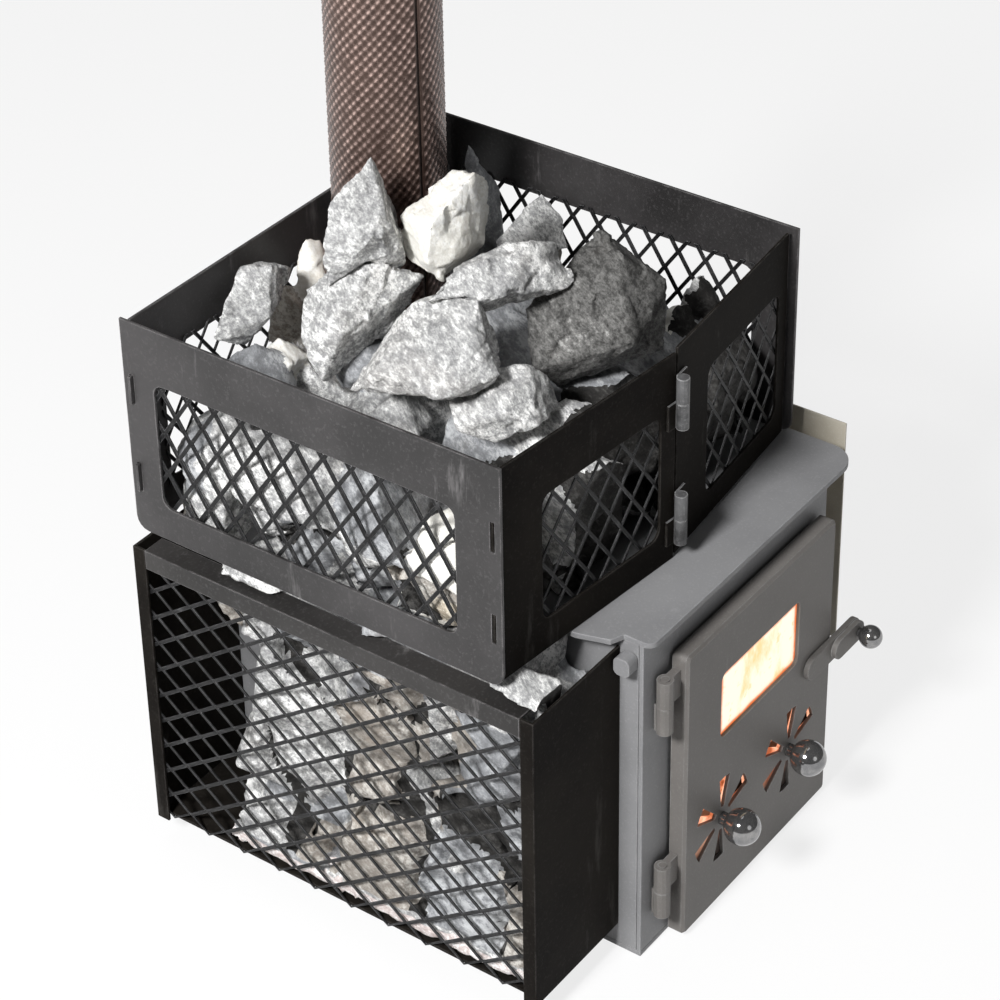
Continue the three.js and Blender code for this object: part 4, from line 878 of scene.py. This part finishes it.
def makeFill(node, setup):
    low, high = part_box(node)
    heap, stoneAt, count = stonesOf(node)
    tree = BVHTree.FromBMesh(heap)
    rng = random.Random(setup["seed"])
    looks = rng.choices(range(len(setup["shares"])), weights=setup["shares"], k=count)
    for look, places in setup["named"].items():
        for place in places:
            looks[stoneAt[tree.find_nearest(Vector(place))[2]]] = stoneLooks.index(look)
    bm = smallFaces(node, partSetup["voxel"], lambda start: addLoose(start, low, high, setup, rng))
    for face in bm.faces:
        middle = face.calc_center_median()
        side = sideOf(middle, low, high, setup)
        look = looks[stoneAt[tree.find_nearest(middle)[2]]]
        if side > 0.1:
            cell, margin = cellAt(middle, setup["stone"])
            pick = random.Random(str([round(c, 3) for c in cell]))
            look = pick.choices(range(len(setup["shares"])), weights=setup["shares"])[0]
            # faces deep in a gap between stones get the near-black stone as painted shadow
            if crackAt(middle, margin) > partSetup["sooted"]:
                look = stoneLooks.index("sootStone")
        # front-facing faces near the bed's front get the near-black stone as painted shade
        if middle.y < low.y + setup["shade"] and face.normal.y < -0.25:
            look = stoneLooks.index("sootStone")
        for name, (place, size) in setup["extra"].items():
            if (middle - Vector(place)).length < size / 2:
                look = stoneLooks.index(name)
        if middle.z < setup["partFrom"] and middle.x < low.x + partSetup["chip"][1]:
            look = stoneLooks.index("pinkStone")
        face.material_index = look
    heap.free()
    partStones(bm, low, high, setup)
    breakUp(bm, heapSetup)
    standIn(bm, node, stoneLooks)
    print(node, "stones:", count)


for node, setup in fillSetup.items():
    makeFill(node, setup)
print("stone fill made")


# studio
studio = {
    "floorSize": 14.0, "floorColour": (0.86, 0.86, 0.86), "whiteShare": 0.8, "worldLight": 0.12,
    "key": {"place": (-3.1, -0.3, 3.0), "size": 0.8, "power": 235.0},
    "fill": {"place": (-0.6, -3.6, 1.7), "size": 1.6, "power": 8.0},
    "top": {"place": (0.3, 0.6, 3.6), "size": 2.0, "power": 12.0},
}


def makeFloor(setup):
    bm = bmesh.new()
    bmesh.ops.create_grid(bm, x_segments=4, y_segments=4, size=setup["floorSize"] / 2)
    mesh = bpy.data.meshes.new("studio_floor")
    bm.to_mesh(mesh)
    bm.free()
    floor = bpy.data.objects.new("studio_floor", mesh)
    scene.collection.objects.link(floor)
    material, shader, spot = newFinish("studio_floor")
    tree = material.node_tree
    shader.inputs["Base Color"].default_value = (*setup["floorColour"], 1)
    shader.inputs["Roughness"].default_value = 0.9
    path = spot.make("ShaderNodeLightPath", out="Is Camera Ray")
    gloss = spot.make("ShaderNodeLightPath", out="Is Glossy Ray")
    through = spot.make("ShaderNodeLightPath", out="Is Transmission Ray")
    seen = path.sum("MAXIMUM", path, gloss).sum("MAXIMUM", path.sum("MAXIMUM", path, gloss), through)
    white = spot.make("ShaderNodeEmission", None, {"Color": (1, 1, 1, 1), "Strength": 1.0})
    shade = Sock(tree, shader.outputs[0])
    mixed = spot.make("ShaderNodeMixShader", None, {0: seen * setup["whiteShare"], 1: shade, 2: white})
    tree.links.new(mixed.socket, tree.nodes["Material Output"].inputs["Surface"])
    mesh.materials.append(material)


def makeWorld(setup):
    world = bpy.data.worlds.new("studio")
    world.use_nodes = True
    tree = world.node_tree
    ground = tree.nodes["Background"]
    ground.inputs["Color"].default_value = (1, 1, 1, 1)
    start = Sock(tree)
    path = start.make("ShaderNodeLightPath", out="Is Camera Ray")
    gloss = start.make("ShaderNodeLightPath", out="Is Transmission Ray")
    seen = path.sum("MAXIMUM", path, gloss)
    strength = seen * (1 - setup["worldLight"]) + setup["worldLight"]
    tree.links.new(strength.socket, ground.inputs["Strength"])
    scene.world = world


def makeLamp(name, lamp, aim=Vector((0, 0, 0.45))):
    data = bpy.data.lights.new(name, "AREA")
    data.shape = "DISK"
    data.size = lamp["size"]
    data.energy = lamp["power"]
    light = bpy.data.objects.new(name, data)
    light.location = lamp["place"]
    light.rotation_euler = (aim - Vector(lamp["place"])).to_track_quat("-Z", "Y").to_euler()
    scene.collection.objects.link(light)


makeFloor(studio)
makeWorld(studio)
for name in ("key", "fill", "top"):
    makeLamp(name + "_lamp", studio[name])
print("studio set")
